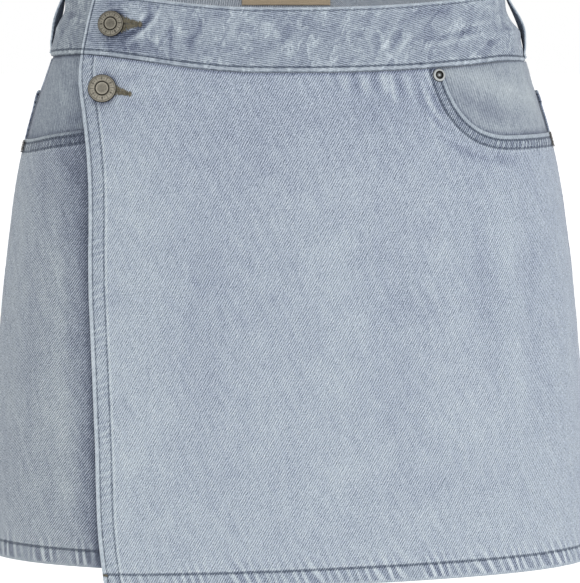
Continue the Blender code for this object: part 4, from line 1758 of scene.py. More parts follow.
@dataclass
class WrapPanel:
    """Skirt panel that crosses the whole front, from its free edge to the +X side seam.

    Attributes:
        step: Distance between the grid's columns.
        row_step: Distance between its rows.
        finest: Distance between its lines at a finished edge.
        hem_row: Distance of the hem's stitch row from its edge, in millimetres.
        edge_rows: Stitch rows along the free edge, in millimetres.
        pocket_rows: Stitch rows along the pocket's edge, in millimetres.
    """

    step: float = 1.7 * MM
    row_step: float = 2.2 * MM
    finest: float = 0.22 * MM
    hem_row: float = 10.6
    edge_rows: tuple[float, float] = (3.4, 11.4)
    pocket_rows: tuple[float, float] = (3.3, 8.9)

    finish = DenimFinish(
        "denim_wrap",
        seams=(
            SeamLook(
                "edge", 3.1, edge_rows, light=0.16, dark=0.25, rope=0.055, turned=0.05, ridge=0.13,
                spread=1.0
            ),
            SeamLook(
                "hem", 1.6, (hem_row, hem_row), light=0.12, dark=0.38, rope=0.22, turned=0.06, reach=12.0,
                spread=1.5, soft=1.4, rope_from=1.0
            ),
            SeamLook(
                "pocket", 2.8, pocket_rows, light=0.20, dark=0.34, rope=0.20, turned=0.17, reach=5.0,
                spread=1.25, soft=0.6, rope_from=3.0
            ),
            SeamLook("side", roll=1.2, rows=NO_ROWS, light=0.14)
        )
    )

    def outline(self) -> dict[Side, np.ndarray]:
        """Sides of the panel as (turn, height) rows.

        Returns:
            Rows for each side.
        """
        top_height = float(FORM.panel_top(FORM.front_turn(FORM.wrap_edge(BAND_SEAM), BAND_SEAM)))
        heights = np.linspace(top_height, FORM.WRAP_EDGE[-1][0] * MM, 200)
        left = np.stack([FORM.front_turn(FORM.wrap_edge(heights), heights), heights], -1)
        pocket = FORM.pocket_curve()
        turns = np.linspace(left[0, 0], pocket[0, 0], 240)[:-1]
        waist = np.stack([turns, FORM.panel_top(turns)], -1)
        pocket[:, 1] = np.minimum(pocket[:, 1], FORM.panel_top(pocket[:, 0]))
        turns = np.linspace(left[-1, 0], SIDE_TURN, 300)
        hem = FORM.wrap_hem(FORM.ring(turns, np.full(300, SHORTS_HEM))[:, 0])
        bottom = np.stack([turns, hem], -1)
        heights = np.linspace(pocket[-1, 1], hem[-1], 160)
        right = np.stack([np.full(160, SIDE_TURN), heights], -1)
        return {
            Side.TOP: np.concatenate([waist, pocket]), Side.BOTTOM: bottom, Side.LEFT: left,
            Side.RIGHT: right
        }

    def lay(self) -> Panel:
        """Lays the panel's grid on the form.

        Returns:
            The panel, still smooth.
        """
        sides = self.outline()
        flat = {side: np.stack([FORM.arc(line[:, 0]), line[:, 1]], -1) for side, line in sides.items()}
        across = graded(0.345, self.step, self.finest)
        down = graded(0.325, self.row_step, self.finest)
        grid = fill_grid(flat[Side.TOP], flat[Side.BOTTOM], flat[Side.LEFT], flat[Side.RIGHT], across, down)
        turns, heights = FORM.turn_at(grid[..., 0]), grid[..., 1]
        self.pocket_first = int(np.argmin(np.abs(turns[0] - FORM.pocket_curve()[0, 0]))) + 1
        return Panel("wrap_panel", FORM.ring(turns, heights), WALL, FORM.cloth_place(turns, heights))

    def shape(self) -> Panel:
        """Lays the panel, then sews its edges and draws its creases.

        Returns:
            The shaped panel.
        """
        panel = self.lay()
        pocket = self.pocket_first
        panel.sew(Sewing("edge", self.edge_rows, 11.5, 0.55, 1.0, 0.10, 5.2, 0.35, 5, 3), Side.LEFT)
        strong = ((0, 0.35), (60, 0.6), (200, 0.9), (300, 1.25), (360, 1.3))
        panel.sew(Sewing("hem", (self.hem_row,), 10.7, 0.6, 0.9, 0.20, 6.7, 0.45, 9, 11, strong), Side.BOTTOM)
        near_end = ((0, 0.15), (45, 0.25), (70, 0.9), (120, 1.35))
        rows = self.pocket_rows
        panel.sew(Sewing("pocket", rows, 8.9, 0.5, 1.0, 0.10, 3.6, 0.2, 5, 21, near_end), Side.TOP, pocket)
        panel.sew(Sewing("waist", (), 0, 0, 0, 0.30, 7.5, -0.25, 9, 31), Side.TOP, 0, pocket)
        panel.sew(Sewing("side", (), 0, 0, 0.6, 0.25, 8.0, 0.3, 6, 41), Side.RIGHT)
        panel.crease(FRONT_CREASES)
        panel.undulate(0.35, 60, 5)
        panel.undulate(0.10, 9, 6)
        panel.keep_off(0.75 * MM)
        panel.wear_and_shade -= 0.05 * ease(panel.points[..., 2], -120 * MM, -55 * MM)
        # Painted shadow of the lower button on the cloth.
        panel.paint_button_shadow(BUTTON_LOWER_AT, 9.2 * MM)
        # Painted shadow just below the waistband's seam.
        panel.wear_and_shade -= 0.24 * bump(panel.seams["waist"][..., 0], 0.0, 1.5)
        # Painted light: lighter towards the hem and the -X side, evening out the lamps' fall-off.
        panel.wear_and_shade += 0.03 * ease(-panel.points[..., 2], 160 * MM, 290 * MM)
        panel.wear_and_shade += 0.045 * ease(-panel.points[..., 0], 40 * MM, 110 * MM)
        return panel

    def build(self, tools: Workshop) -> Panel:
        """Builds the panel and its topstitching.

        Args:
            tools: Shared groups, finishes and stitching.

        Returns:
            The panel, for the buttonhole that is worked in it.
        """
        panel = self.shape()
        denim_piece(panel, self.finish, tools, Hold.HUNG, ["band_over"], "front_wrap")
        stitching = tools.stitching
        for number, row in enumerate(self.edge_rows):
            stitching.run(panel.stitch_line("edge", Side.LEFT, row), (0.5, 2.5), number)
        stitching.run(panel.stitch_line("hem", Side.BOTTOM, self.hem_row), (3.2, 1.0), 7)
        for number, row in enumerate(self.pocket_rows):
            path = panel.stitch_line("pocket", Side.TOP, row, self.pocket_first)
            stitching.run(path, (0.5, 0.5), 9 + number)
        stitching.finish("stitching_wrap", tools.thread)
        return panel


# ---------------------------------------------------------------------------------------------
# Shorts
# ---------------------------------------------------------------------------------------------


def right_leg_inset(turn: Numbers, height: Numbers) -> np.ndarray:
    """Inset of the shorts front that shows beside the wrap: none at its side seam."""
    under_wrap = ease(SIDE_TURN - np.abs(turn), 0.0, LAYER_TURN)
    return under_wrap * (UNDER_LEG_INSET + LEG_FLARE_INSET * ease(-np.asarray(height), 0.10, 0.34))


def left_leg_inset(turn: Numbers, height: Numbers) -> np.ndarray:
    """Inset of the shorts front under the wrap, which closes on the side seam below the pocket.

    Args:
        turn: Turns round the garment.
        height: Their heights.

    Returns:
        Array of insets.
    """
    at_side = 1 - ease(SIDE_TURN - np.abs(turn), 0.0, LAYER_TURN)
    below_pocket = ease(-np.asarray(height), 0.09, 0.13)
    deep = HIDDEN_LEG_INSET + LEG_FLARE_INSET * ease(-np.asarray(height), 0.10, 0.34)
    return mix(deep, WALL + 0.4 * MM, at_side * below_pocket)


def back_inset(turn: Numbers, height: Numbers) -> np.ndarray:
    """The back of the shorts lies on the form itself."""
    return np.zeros(np.broadcast(turn, height).shape)


SHORTS_RUBS_AND_SHADE = (
    # Darker patches and pale rubs on the part of the shorts that shows beside the wrap; the darker patches
    # below the pocket and near the wrap's edge are painted shade.
    Crease((-150, -80), (-136, -104), 5.0, 0.0, -0.07),
    Crease((-164, -84), (-160, -120), 5.0, 0.0, -0.05),
    Crease((-155, -100), (-151, -190), 5.5, 0.0, 0.05),
    Crease((-146, -150), (-141, -240), 4.0, 0.0, -0.05),
    Crease((-152, -190), (-146, -320), 7.0, 0.0, 0.06, 2.0),
    Crease((-170, -150), (-174, -300), 5.0, 0.0, -0.05),
    Crease((-137, -250), (-133, -335), 3.0, 0.0, -0.05),
)


@dataclass
class ShortsPanel:
    """Front or back of one leg of the shorts, from the waistband, pocket or yoke to its hem.

    Attributes:
        name: Name of the piece.
        node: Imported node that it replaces.
        side: 1 for the wearer's left, -1 for their right.
        face: 1 for the front, -1 for the back.
        inset_at: Gives how far it lies inside the form at a turn and height.
        shows: Whether its side part is seen from the front, and so is made finer.
        pocket: Whether its top follows the pocket's edge.
        step: Distance between the grid's columns.
        row_step: Distance between its rows.
        finest: Distance between its lines at a finished edge.
        hem_row: Distance of the hem's stitch row from its edge, in millimetres.
        pocket_rows: Stitch rows along the pocket's edge, in millimetres.
    """

    name: str
    node: str
    side: int
    face: int
    inset_at: Callable[[Numbers, Numbers], np.ndarray]
    shows: bool = False
    pocket: bool = False
    step: float = 3.0 * MM
    row_step: float = 3.0 * MM
    finest: float = 0.3 * MM
    hem_row: float = 10.8
    pocket_rows: tuple[float, float] = (2.9, 8.7)

    YOKE_ROWS = (2.0, 7.6)
    CENTRE_ROWS = (2.0, 7.5)

    def seam_looks(self) -> tuple[SeamLook, ...]:
        """How the panel's edges have worn.

        Returns:
            One look for each worn edge.
        """
        looks = [
            SeamLook(
                "hem", 1.6, (self.hem_row, self.hem_row), light=0.10, dark=0.38, rope=0.19, turned=0.05,
                reach=11.0, spread=1.5, soft=1.4, rope_from=1.0
            ),
            # On the back panels a negative light paints shade along the side seam's edge.
            SeamLook("side", 1.2, NO_ROWS, light=0.14 * self.face),
            SeamLook("centre", 1.0, self.CENTRE_ROWS, light=0.12, rope=0.08, turned=0.03, reach=3.0)
        ]
        if self.pocket:
            looks.append(SeamLook(
                "top", 2.6, self.pocket_rows, light=0.18, dark=0.36, rope=0.20, turned=0.14, reach=4.0,
                spread=1.3, soft=0.6, rope_from=2.6
            ))
        elif self.face < 0:
            looks.append(SeamLook("top", 1.4, self.YOKE_ROWS, light=0.14, rope=0.12, turned=0.04, reach=4.0))
        return tuple(looks)

    def form_turns(self, turns: np.ndarray) -> np.ndarray:
        """The form's own turns, for turns away from the centre front or back."""
        return self.side * (turns if self.face > 0 else math.pi - turns)

    def arc(self, level: float, turns: np.ndarray) -> np.ndarray:
        """Points of the leg's outline at turns away from the centre front or back."""
        return FORM.ring(self.form_turns(turns), level, self.inset_at(turns, level))

    def outline(self, level: float) -> np.ndarray:
        """Outline below the start of the rise, from the inner turn round to the inner seam.

        Args:
            level: Height of the outline.

        Returns:
            Array of places.
        """
        start = FRONT_RISE_START if self.face > 0 else BACK_RISE_START
        share = min((start - level) / (start - CROTCH), 1.0)
        below = min(max((CROTCH - level) / (CROTCH - SHORTS_HEM), 0.0), 1.0)
        inner_x = -SEAM_LAP + (LEG_GAP_AT_HEM / 2) * below
        round_x = INNER_ROUND * share**0.8
        corner_turn = float(FORM.front_turn(inner_x + round_x, level))
        points = self.arc(level, np.linspace(INNER_TURN, corner_turn, 25))
        corner_y = points[-1, 1]
        seam_y = mix(CROTCH_Y, corner_y, math.sqrt(1 - share * share)) + self.face * SEAM_LAP
        swing = np.linspace(0.0, math.pi / 2, 41)
        x = inner_x + round_x * (1 - np.sin(swing))
        y = mix(seam_y, corner_y, np.cos(swing))
        rounded = np.stack([self.side * x, y, np.full(41, level)], -1)
        return np.concatenate([points[:-1], rounded])

    def columns(self) -> tuple[np.ndarray, np.ndarray]:
        """Turns of the columns, and the height where each starts.

        Returns:
            Array of turns and array of heights.
        """
        hips = 2 * abs(float(FORM.arc(SIDE_TURN) - FORM.arc(INNER_TURN)))
        side_turn = SIDE_TURN if self.face > 0 else math.pi - SIDE_TURN - SIDE_SEAM_TURN
        step = self.step * (0.62 if self.shows else 1.0)
        if self.pocket:
            curve = FORM.tilted(FORM.pocket_curve())[::-1]
            lengths = lengths_along(FORM.ring(curve[:, 0], curve[:, 1]))
            shares = graded(lengths[-1], step, self.finest, True, False)
            outer = np.interp(shares * lengths[-1], lengths, curve[:, 0])
            tops = np.interp(-outer, -curve[:, 0], curve[:, 1])
            tops[-1] = FORM.panel_top(outer[-1], self.inset_at(outer[-1], BAND_SEAM))
            rest = np.linspace(outer[-1], INNER_TURN, 14)[1:]
        else:
            outer = side_turn + (INNER_TURN - side_turn) * graded(hips / 2, step, self.finest, True, False)
            tops = self.top_at(outer)
            rest = np.empty(0)
        inner_shares = graded(120 * MM, self.step, self.finest, False, True)[1:]
        inner = INNER_TURN + (CENTRE_TURN - INNER_TURN) * inner_shares
        turns = np.concatenate([outer, rest, inner])
        return turns, np.concatenate([tops, self.top_at(turns[len(outer) :])])

    def top_at(self, turns: np.ndarray) -> np.ndarray:
        """Height of the seam above the panel.

        Args:
            turns: Turns round the garment.

        Returns:
            Array of heights.
        """
        if self.face < 0:
            return FORM.yoke_seam(math.pi - turns) - 0.4 * MM
        return FORM.panel_top(turns, self.inset_at(turns, BAND_SEAM))

    def lay(self) -> Panel:
        """Lays the panel's grid on the form and between the legs.

        Returns:
            The panel, still smooth.
        """
        start = FRONT_RISE_START if self.face > 0 else BACK_RISE_START
        turns, tops = self.columns()
        fine_turns = np.linspace(INNER_TURN, 0.0, 61)
        inner_lengths = lengths_along(self.arc(start, fine_turns))
        inner_shares = np.interp(-turns, -fine_turns, inner_lengths / inner_lengths[-1])
        inner_shares[-1] = 1.0
        upper = graded(150 * MM, self.row_step, self.finest, True, False)
        rise = np.linspace(start, CROTCH, max(int((start - CROTCH) / self.row_step), 4) + 1)[1:]
        leg_shares = graded(88 * MM, self.row_step, self.finest, False, True)[1:]
        lower = CROTCH + (SHORTS_HEM - CROTCH) * leg_shares
        rows = [self.arc_rows(turns, mix(tops, start, share)) for share in upper]
        inside = turns < INNER_TURN
        for level in (*rise, *lower):
            row = self.arc_rows(turns, np.full(len(turns), level))
            outline = self.outline(level)
            total = lengths_along(outline)[-1]
            row[inside] = resample(outline, inner_shares[inside] * total)
            rows.append(row)
        points = np.array(rows)
        uv = self.cloth_places(points, turns)
        if self.side * self.face > 0:
            points, uv = points[:, ::-1], uv[:, ::-1]
        return Panel(self.name, points, WALL, uv)

    def arc_rows(self, turns: np.ndarray, heights: np.ndarray) -> np.ndarray:
        """Points of one row, each at its own turn and height."""
        return FORM.ring(self.form_turns(turns), heights, self.inset_at(turns, heights))

    def cloth_places(self, points: np.ndarray, turns: np.ndarray) -> np.ndarray:
        """Places on the flat cloth: by the turn on the outside, by length between the legs.

        Args:
            points: Points of the grid.
            turns: Turns of the form's columns.

        Returns:
            Array of flat places.
        """
        uv = FORM.cloth_place(self.form_turns(turns)[None], points[..., 2])
        lengths = np.linalg.norm(np.diff(points, axis=1), axis=2)
        first = int(np.argmax(turns < INNER_TURN))
        way = -self.side * self.face
        uv[:, first:, 0] = uv[:, first - 1 : first, 0] + way * np.cumsum(lengths[:, first - 1 :], axis=1)
        return uv

    def shape(self) -> Panel:
        """Lays the panel, then sews its edges and draws its creases.

        Returns:
            The shaped panel.
        """
        panel = self.lay()
        turned = self.side * self.face > 0
        outer, centre = (Side.RIGHT, Side.LEFT) if turned else (Side.LEFT, Side.RIGHT)
        seed = 50 + 7 * self.side + 3 * self.face
        panel.sew(Sewing("hem", (self.hem_row,), 10.9, 0.5, 0.9, 0.18, 6.7, 0.25, 8, seed), Side.BOTTOM)
        panel.sew(Sewing("side", (), 0, 0, 0.6, 0.22, 8.0, 0.3, 6, seed + 1), outer)
        rows = self.CENTRE_ROWS if self.face < 0 else ()
        panel.sew(Sewing("centre", rows, 0, 0, 0.6, 0.16, 6.0, 0.3, 5, seed + 2), centre)
        if self.pocket:
            corner = FORM.ring(-FORM.pocket_curve()[0, 0], POCKET_TOP)[0]
            last = int(np.argmin(np.abs(panel.points[0, :, 0] - corner)))
            ends = ((0, 1.3), (18, 1.2), (34, 0.45))
            pocket = Sewing("top", self.pocket_rows, 8.9, 0.4, 1.0, 0.10, 3.8, 0.2, 5, seed + 3, ends)
            panel.sew(pocket, Side.TOP, 0, last)
            self.pocket_last = last
        elif self.face < 0:
            panel.sew(Sewing("top", self.YOKE_ROWS, 7.8, 0.5, 0.7, 0.2, 6.0, 0.3, 5, seed + 3), Side.TOP)
            panel.crease(BACK_CREASES)
        panel.undulate(0.30, 55, seed + 4)
        panel.undulate(0.08, 9, seed + 5)
        panel.keep_off(0.7 * MM)
        if self.pocket:
            panel.crease(SHORTS_RUBS_AND_SHADE, 2.6 * MM)
            # Painted shadow that the wrap's free edge casts beside it, stronger lower down, and painted shade
            # on the upper part near that edge.
            from_edge = FORM.wrap_edge(panel.points[..., 2]) - panel.points[..., 0]
            lower = ease(-panel.points[..., 2], 90 * MM, 165 * MM)
            wrap_edge_shadow = np.exp(-np.maximum(from_edge, 0.0) / (6.0 * MM))
            panel.wear_and_shade -= (0.22 + 0.16 * lower) * wrap_edge_shadow
            upper = ease(panel.points[..., 2], -175 * MM, -95 * MM)
            panel.wear_and_shade -= 0.15 * upper * ease(from_edge, 46 * MM, 6 * MM)
        return panel

    def build(self, tools: Workshop) -> None:
        """Builds the panel and its topstitching.

        Args:
            tools: Shared groups, finishes and stitching.
        """
        panel = self.shape()
        beside_wrap = self.face > 0 and self.shows
        # Beside the wrap the front takes a lower level, painted shade on that side.
        finish = DenimFinish(
            "denim_" + self.name, angle=50.0, level=0.47 if beside_wrap else 0.5, streaks=0.26,
            seams=self.seam_looks(), greyer=beside_wrap
        )
        band = "band_under_right" if self.side < 0 else "band_under_left"
        denim_piece(panel, finish, tools, Hold.HUNG, [band if self.face > 0 else "band_back"], self.node)
        stitching = tools.stitching
        stitching.run(panel.stitch_line("hem", Side.BOTTOM, self.hem_row), (1, 1), 5)
        if self.pocket:
            for row in self.pocket_rows:
                path = panel.stitch_line("top", Side.TOP, row, 0, self.pocket_last)
                stitching.run(path, (0.5, 0.5), 6)
        elif self.face < 0:
            for row in self.YOKE_ROWS:
                stitching.run(panel.stitch_line("top", Side.TOP, row), (0.5, 0.5), 8)
            if self.side > 0:
                for row in self.CENTRE_ROWS:
                    centre = Side.RIGHT if self.side * self.face < 0 else Side.LEFT
                    stitching.run(panel.stitch_line("centre", centre, row), (0.5, 0.5), 9)
        stitching.finish("stitching_" + self.name, tools.thread)


BACK_CREASES = (
    Crease((30, -150), (62, -205), 9.0, -0.6, -0.04, 3.0, True),
    Crease((-34, -146), (-58, -212), 9.0, -0.6, -0.04, -3.0, True),
    Crease((90, -120), (104, -300), 16.0, 0.8, 0.03, 3.0, True),
    Crease((-86, -118), (-98, -290), 16.0, 0.8, 0.03, -3.0, True),
    Crease((130, -110), (142, -250), 12.0, -0.8, -0.04, 2.0, True),
    Crease((-128, -114), (-139, -262), 12.0, -0.8, -0.04, -2.0, True),
    Crease((14, -84), (40, -92), 3.0, -0.4, -0.04, 1.0, True),
    Crease((-16, -86), (-44, -95), 3.0, -0.4, -0.04, 1.0, True),
)


@dataclass
class Yoke:
    """Back yoke of one side, between the waistband and the back of the leg.

    Attributes:
        name: Name of the piece.
        node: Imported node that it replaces.
        side: 1 for the wearer's left, -1 for their right.
        step: Distance between the grid's columns.
        finest: Distance between them at a seam.
    """

    name: str
    node: str
    side: int
    step: float = 2.6 * MM
    finest: float = 0.3 * MM

    def build(self, tools: Workshop) -> None:
        """Builds the yoke.

        Args:
            tools: Shared groups, finishes and stitching.
        """
        start = SIDE_TURN + SIDE_SEAM_TURN
        across = graded(0.19, self.step, self.finest)
        down = graded(0.045, self.step, self.finest)[:, None]
        turns = mix(start, math.pi - CENTRE_TURN, across)
        tops, ends = FORM.panel_top(turns, YOKE_INSET) + YOKE_TUCK, FORM.yoke_seam(turns)
        heights = mix(tops[None], ends[None], down)
        signed = np.broadcast_to(self.side * turns, heights.shape)
        if self.side < 0:
            signed, heights = signed[:, ::-1], heights[:, ::-1]
        panel = Panel(
            self.name, FORM.ring(signed, heights, YOKE_INSET), WALL, FORM.cloth_place(signed, heights)
        )
        seed = 90 + self.side
        panel.sew(Sewing("waist", (), 0, 0, 0, 0.2, 7.5, 0.2, 8, seed), Side.TOP)
        panel.sew(Sewing("seam", (), 0, 0, 0, 0.22, 6.0, 0.3, 6, seed + 1), Side.BOTTOM)
        panel.undulate(0.2, 40, seed + 2)
        finish = DenimFinish("denim_" + self.name, angle=64.0)
        denim_piece(panel, finish, tools, Hold.HUNG, ["band_back"], self.node)


FACING_SHADE_AND_LIGHT = (
    # Painted shade along the pocket's edge, and painted light above it towards the side.
    Crease((104, -44), (146, -66), 7.0, 0.0, -0.08, -3.0),
    Crease((124, -54), (152, -61), 5.5, 0.0, -0.05),
    Crease((116, -32), (163, -50), 7.0, 0.0, 0.09),
    Crease((154, -30), (168, -66), 5.0, 0.0, 0.07),
    Crease((103, -30), (128, -33), 3.0, 0.0, 0.03),
    Crease((-150, -62), (-134, -58), 5.0, 0.0, -0.11),
    Crease((-140, -34), (-136, -62), 4.0, 0.0, -0.09),
    Crease((-156, -40), (-148, -52), 5.0, 0.0, 0.06),
)


@dataclass
class HipFacing:
    """Piece of denim that shows inside a pocket's curved opening.

    Attributes:
        name: Name of the piece.
        node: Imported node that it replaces.
        side: 1 for the wearer's left, -1 for their right.
        inset_at: How far inside the form it lies at a turn and a height.
        hold: Panel that it hangs behind.
        step: Distance between the grid's lines.
        finest: Distance between its lines at an edge.
        tuck: How far it runs up behind the band on the -X side.
    """

    name: str
    node: str
    side: int
    inset_at: Callable
    hold: str
    step: float = 2.0 * MM
    finest: float = 0.5 * MM
    tuck: float = 2.4 * MM

    def build(self, tools: Workshop) -> None:
        """Builds the facing.

        Args:
            tools: Shared groups, finishes and stitching.
        """
        curve = FORM.pocket_curve(POCKET_OVERLAP, math.radians(22))
        if self.side < 0:
            curve = FORM.tilted(curve)
        lengths = lengths_along(FORM.ring(curve[:, 0], curve[:, 1]))
        places = graded(lengths[-1], self.step, self.finest) * lengths[-1]
        turns = np.interp(places, lengths, curve[:, 0])
        bottoms = np.interp(places, lengths, curve[:, 1])
        turns, bottoms = turns[:: self.side] * self.side, bottoms[:: self.side]
        tops = FORM.panel_top(turns, self.inset_at(turns, BAND_SEAM))
        if self.side < 0:
            tops = FORM.band_seam(turns) + self.tuck
        down = graded(50 * MM, self.step, self.finest)[:, None]
        heights = mix(tops[None], bottoms[None], down)
        spread = np.broadcast_to(turns, heights.shape)
        inset = self.inset_at(spread, heights)
        if self.side < 0:
            behind = under_right_inset(spread) + BAND_WALL + 0.35 * MM
            near_band = ease(heights, -36 * MM, -25 * MM)
            inset = inset + np.maximum(behind - inset, 0.0) * near_band
        points = FORM.ring(spread, heights, inset)
        panel = Panel(self.name, points, WALL, FORM.cloth_place(spread, heights))
        panel.undulate(0.15, 30, 120 + self.side)
        if self.side < 0:
            panel.wear_and_shade -= 0.20 * ease(np.abs(spread), SIDE_TURN - 0.05, SIDE_TURN - 0.01)
        else:
            near_side = ease(points[..., 0], 140 * MM, 155 * MM)
            panel.offsets += 1.5 * MM * near_side * bump(heights, -25 * MM, 12 * MM)
        depth = 3.0 * MM if self.side < 0 else 2.0 * MM
        panel.crease(FACING_SHADE_AND_LIGHT, depth)
        # Painted shadow just below the waistband.
        below = np.maximum(FORM.band_seam(spread) - heights, 0.0)
        panel.wear_and_shade -= 0.30 * bump(below, 0.0, 1.6 * MM)
        # Painted shade along the pocket opening's edge.
        opening = FORM.pocket_curve() if self.side > 0 else FORM.tilted(FORM.pocket_curve())
        edge = FORM.ring(self.side * opening[:, 0], opening[:, 1], depth)
        gap = nearest_on(panel.flat, edge)[0].reshape(spread.shape)
        panel.wear_and_shade -= 0.26 * bump(gap, 0.0, 1.7 * MM)
        # The facings' lower levels are painted shade inside the pocket openings, deepest on the -X side.
        finish = DenimFinish(
            "denim_" + self.name, angle=108.0, pitch=1.7 * MM, level=0.45 if self.side > 0 else 0.345,
            streaks=0.16, clouds=0.16, rubs=0.05, twill=0.24, greyer=True
        )
        denim_piece(panel, finish, tools, Hold.HUNG, [self.hold], self.node)


# ---------------------------------------------------------------------------------------------
# Waistband
# ---------------------------------------------------------------------------------------------


BAND_CREASES = (
    # Folds that the upper buttonhole pulls into the band, their darker troughs painted shade.
    Crease((-82.4, 13.7), (-112, -8.3), 3.4, -0.85, -0.38, -3.9),
    Crease((-112, -11), (-84, -12), 6.5, -0.2, -0.10),
    Crease((-80.4, 15), (-104.4, -12.2), 1.7, 0.60, 0.32, -3.5),
    Crease((-89.5, 11.8), (-105, -5.1), 1.5, 0.50, 0.22, -1.5),
    Crease((-118, 14), (-96, 17), 2.2, -0.45, -0.12),
    Crease((-118, -9), (-113, -17), 2.6, -0.45, -0.16),
    Crease((-112, -12), (-92, -17), 3.4, -0.45, -0.13),
    Crease((-98.9, -6.4), (-98, -14.8), 2.4, -0.40, -0.16),
    Crease((-93, -4), (-95, -16), 1.3, 0.40, 0.12),
    Crease((-121, -4), (-104, -19), 3.4, -0.30, -0.10),
    Crease((-106, 13), (-90, 2), 2.4, 0.30, 0.07),
    Crease((-88.5, 15), (-89, 9), 1.8, -0.30, -0.14),
    Crease((-92, -6), (-83, -20), 2.0, -0.35, -0.14),
    Crease((-78, 2), (-86, -14), 1.6, 0.35, 0.14),
    Crease((-75.3, 1), (-75, -12), 2.0, -0.40, -0.19),
    Crease((-70, 4), (-71, -10), 1.3, 0.30, 0.11),
    Crease((-63, -6), (-62, -17), 2.4, -0.40, -0.16),
    # Slanting rubs towards the pocket's side.
    Crease((79, -4), (68, -20), 1.3, 0.45, 0.20),
    Crease((74, -2), (63, -18), 1.5, -0.40, -0.14),
    Crease((50, -6), (55, -21), 1.4, 0.35, 0.12),
    Crease((59, -8), (55, -21), 1.3, -0.35, -0.12),
    Crease((63, -10), (66, -21), 1.2, 0.35, 0.12),
    Crease((112, 6), (101, -14), 1.8, 0.40, 0.10),
    Crease((120, 8), (110, -14), 1.8, -0.40, -0.10),
    Crease((20, 2), (12, -16), 2.2, 0.35, 0.08),
    Crease((2, 2), (-6, -18), 2.4, -0.35, -0.08),
    Crease((-30, 6), (-42, -14), 2.2, 0.35, 0.08),
    Crease((-52, 8), (-62, -12), 2.0, -0.35, -0.10),
    Crease((71, 4), (60, -15), 1.4, 0.35, 0.16),
    Crease((66, 6), (57, -8), 2.2, -0.35, -0.12),
    # Long rubs that run along the band towards its +X side.
    Crease((84, -14), (129, -6), 1.7, 0.35, 0.13),
    Crease((90, -9), (132, -2), 1.9, -0.30, -0.11),
    Crease((101, -2), (136, 3), 1.6, 0.30, 0.09),
    Crease((77, 10), (107, 8), 3.4, -0.20, -0.12),
    Crease((127, -10), (134, -13), 2.2, -0.20, -0.13),
    Crease((139, 2), (143, -8), 2.0, -0.20, -0.10),
    Crease((118, 14), (138, 9), 2.0, 0.30, 0.09),
)


UNDER_BAND_CREASES = (
    Crease((-140, -8), (-132, 14), 1.8, 0.45, 0.22),
    Crease((-147, -4), (-143, 12), 3.0, -0.45, -0.18),
    Crease((-154, 4), (-149, -12), 2.2, 0.35, 0.12),
    Crease((-136, -12), (-131, 2), 2.6, -0.40, -0.18),
    Crease((-145, -6), (-144, -13), 2.0, -0.30, -0.16),
    Crease((-138, 4), (-129, 12), 2.4, -0.30, -0.16),
    Crease((-149, -3), (-148, -7), 2.0, -0.20, -0.12),
    Crease((-142, -4), (-141, -9), 2.0, -0.20, -0.14),
    Crease((-147, 8), (-140, 5), 3.0, -0.20, -0.10),
)


def side_swell(points: np.ndarray) -> np.ndarray:
    """How far the worn band sinks or swells at its two sides, and tucks in at its seam.

    Args:
        points: Places on the band.

    Returns:
        Its height above the form there.
    """
    x, z = points[..., 0], points[..., 2]
    sunk = np.where(x > 0, 1.3 * MM, 2.1 * MM) * bump(z, 9 * MM, 6.5 * MM)
    swollen = np.where(x > 0, 3.0 * MM, 0.3 * MM) * bump(z, -6.5 * MM, 5.3 * MM)
    tucked = 1.3 * MM * ease(z, -16 * MM, -21 * MM)
    return ease(np.abs(x), 130 * MM, 148 * MM) * (swollen - sunk - tucked)


